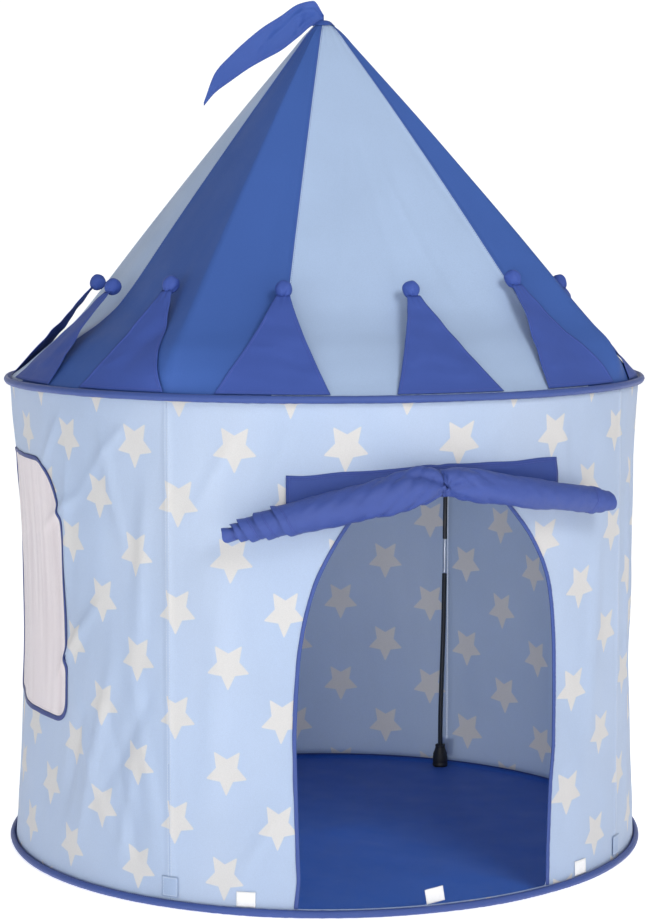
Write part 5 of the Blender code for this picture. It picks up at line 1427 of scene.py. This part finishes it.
def make_patches():
    low = HEM_TOP + GAP
    out = CLOTH / 2 + GAP + PATCH_THICKNESS / 2
    runs = [make_small_panel(f"hook_tape_{side}", f"patch_{side}", "hook_and_loop", azimuth, low, PATCH_WIDTH,
                             PATCH_HEIGHT, out, nap, PATCH_THICKNESS, 91)
            for side, azimuth in (("left", -PATCH_AZIMUTH), ("right", PATCH_AZIMUTH))]
    a, z = np.meshgrid(np.linspace(-0.5, 0.5, 15), np.linspace(0, 1, 12))
    bend = 0.0008 * z**2 + 0.0002 * ripple(a * 0.03, z * 0.02, 0.012, 93)
    start = WALL_RADIUS - PATCH_THICKNESS
    lean = radians(9)
    foot, middle = low + GAP, low + GAP + PATCH_HEIGHT / 2

    def tilted(x, height):
        level = height + 0.0018 - middle
        return x * cos(lean) - level * sin(lean), middle + x * sin(lean) + level * cos(lean)

    x, height = tilted(a * PATCH_WIDTH, foot + z * PATCH_HEIGHT)
    tab = grid_piece("hook_tape_threshold", np.stack([x, -start - bend * 0.3, height], -1), nap,
                     plane(a * PATCH_WIDTH, z * PATCH_HEIGHT))
    settle(tab, "hook_and_loop", "patch_threshold", thickness=PATCH_THICKNESS * 0.9)
    half = PATCH_WIDTH / 2 - STITCH_INSET
    corners = np.array([(-half, STITCH_INSET), (half, STITCH_INSET), (half, PATCH_HEIGHT - STITCH_INSET),
                        (-half, PATCH_HEIGHT - STITCH_INSET), (-half, STITCH_INSET)]) + (0, foot)
    x, height = tilted(*along_corners(corners, 7).T)
    line = np.stack([x, 0 * x - start - PATCH_THICKNESS * 0.5, height], -1)
    runs.append((line, np.tile([0.0, -1.0, 0.0], (len(line), 1))))
    make_stitches("patch_stitches", runs, white_thread, 94)

    runs = [make_small_panel(f"foot_pocket_{side}", None, "printed_wall_cloth", (number + 0.5) * QUARTER,
                             HEM_TOP + 0.004, *POCKET_SIZE, CLOTH / 2 + 0.0014, plain_wall_cloth, 0.0005,
                             95 + number, 0.0006, flat=POCKET_SIZE, held="stretched",
                             rests_on=[f"{side.split('_')[0]}_wall"])
            for number, side in enumerate(CORNERS)]
    make_stitches("pocket_stitches", runs, pale_thread, 96)


def make_flag():
    """A pennant that blows out from the peak, soft creases running down from its knot."""
    s, p = np.meshgrid(np.linspace(0, 1, 90), np.linspace(0, 1, 22), indexing="ij")
    top, foot = smooth_table(FLAG_SHARES, s[:, 0]).T[:2, :, None]
    level = top + p * (foot - top)
    creases = ridges(s * FLAG_LENGTH, p * 0.045, FLAG_CREASES)
    gather = 0.0016 * np.exp(-s / 0.06) * np.cos(p * 11)
    side = FLAG_RIPPLE * np.sin(TAU * s * FLAG_WAVES) + creases * ramp(s, 0.0, 0.08) + gather
    out, across = polar(1.0, FLAG_AZIMUTH, 0.0), polar(1.0, FLAG_AZIMUTH + QUARTER, 0.0)
    root = UP * (PEAK_CAP_TOP + CLOTH / 2 + GAP)
    points = root + out * (s * FLAG_LENGTH)[..., None] + across * side[..., None] - UP * (FLAG_DROP * level)[..., None]
    flag = grid_piece("pennant_cloth", points, flag_cloth, plane(s * 0.24, p * 0.045))
    settle(flag, "flag_cloth", "flag", "pennant", thickness=0.0007, flat=(0.245, 0.05), held="hung",
           rests_on=["peak_cap_cloth"], area=0.0082)
    normal = surface_normals(points)[3:-6]
    runs = [(points[3:-6, column] + normal[:, column] * way * 0.0004, normal[:, column] * way)
            for column in (2, -3) for way in (1, -1)]
    make_stitches("pennant_stitches", runs, navy_thread, 97, body="pennant")


# Frame parts that stay as they are


def dress_frame():
    for name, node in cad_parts.items():
        for part, material in (("hoop", spring_steel), ("rod_upper", sheath), ("peak_hub", rubber)):
            if part in name:
                node.data.materials.clear()
                node.data.materials.append(material)


# Room, light and camera

WARM_LIGHT = (1.0, 0.985, 0.95)
# Name, watts, width, degrees of azimuth, degrees of elevation, distance, colour
LIGHTS = (
    ("key", 80, 1.8, 14, 33, 4.4, WARM_LIGHT),
    ("fill", 50, 1.8, -24, 4, 4.8, WARM_LIGHT),
    ("side", 28, 1.6, -54, -1, 4.6, (0.86, 0.95, 1.0)),
)


def make_room():
    r, a = np.meshgrid([0.001, 2.0, 8.0, 40.0], TAU * np.arange(96) / 96, indexing="ij")
    paint = Material("floor_paint")
    shade = paint.spread(paint.noise(paint.add("TexCoord", {}, "Object"), 3.0, 4.0), 0.0, 1.0)
    paint.dress(Base_Color=paint.mix(shade, (0.85, 0.85, 0.86), (0.88, 0.88, 0.88)), Emission_Color=(1.0, 1.0, 1.0),
                Emission_Strength=0.72, Roughness=0.75, Specular_IOR_Level=0.15)
    points = np.stack([r * np.cos(a), r * np.sin(a), 0 * r - 0.0004], -1)
    grid_piece("studio_floor", points, paint.data, round_u=True)

    world = bpy.data.worlds.new("studio")
    bpy.context.scene.world = world
    world.use_nodes = True
    nodes = Nodes(world.node_tree)
    behind = tuple(polar(1.0, radians(161.5), 0.0))
    towards = nodes.add("VectorMath", {1: behind, 0: nodes.add("TexCoord", {}, "Generated")}, "Value",
                        operation="DOT_PRODUCT")
    background = world.node_tree.nodes["Background"]
    nodes.put(background.inputs["Color"], (0.98, 0.99, 1.0))
    nodes.put(background.inputs["Strength"], nodes.spread(towards, 0.38, 1.1, 0.80, 0.94))

    middle = Vector((0, 0, 0.6))
    for name, energy, size, azimuth, elevation, distance, colour in LIGHTS:
        light = bpy.data.lights.new(name, "AREA")
        light.shape = "DISK"
        light.size = size
        light.energy = energy
        light.color = colour
        obj = bpy.data.objects.new(name, light)
        bpy.context.scene.collection.objects.link(obj)
        rise = radians(elevation)
        obj.location = Vector(polar(distance * cos(rise), radians(azimuth), middle.z + distance * sin(rise)))
        obj.rotation_euler = (middle - obj.location).to_track_quat("-Z", "Y").to_euler()


PHOTO_WIDTH, PHOTO_HEIGHT = 650, 922


def make_camera():
    focal, distance, height, pitch = 2339.34, 3.74459, 0.99299, 0.104190
    azimuth, middle_x, roll = radians(-18.5), 324.23, -0.00098
    data = bpy.data.cameras.new("camera")
    data.sensor_fit = "AUTO"
    data.sensor_width = 36.0
    data.lens = focal * data.sensor_width / PHOTO_HEIGHT
    data.clip_start, data.clip_end = 0.05, 200
    camera = bpy.data.objects.new("camera", data)
    bpy.context.scene.collection.objects.link(camera)
    camera.location = Vector(polar(distance, azimuth, height))
    yaw = azimuth - (PHOTO_WIDTH / 2 - middle_x) / focal
    turn = Matrix.Rotation(yaw, 4, "Z") @ Matrix.Rotation(pi / 2 - pitch, 4, "X") @ Matrix.Rotation(roll, 4, "Z")
    camera.rotation_euler = turn.to_euler()
    bpy.context.scene.camera = camera
    bpy.context.scene.view_settings.view_transform = "Standard"


make_camera()
make_room()
make_walls()
make_openings()
make_hem("base_hem_tape", "base_hem", BASE_SEAM_HEIGHT, (1,), 11)
make_hem("eave_hem_tape", "eave_hem", EAVE_HEIGHT, (1, -1), 15)
make_floor_cloth()
make_rods()
make_roof()
make_cap()
make_crown()
make_roll()
make_header()
make_tie()
make_patches()
make_flag()
dress_frame()
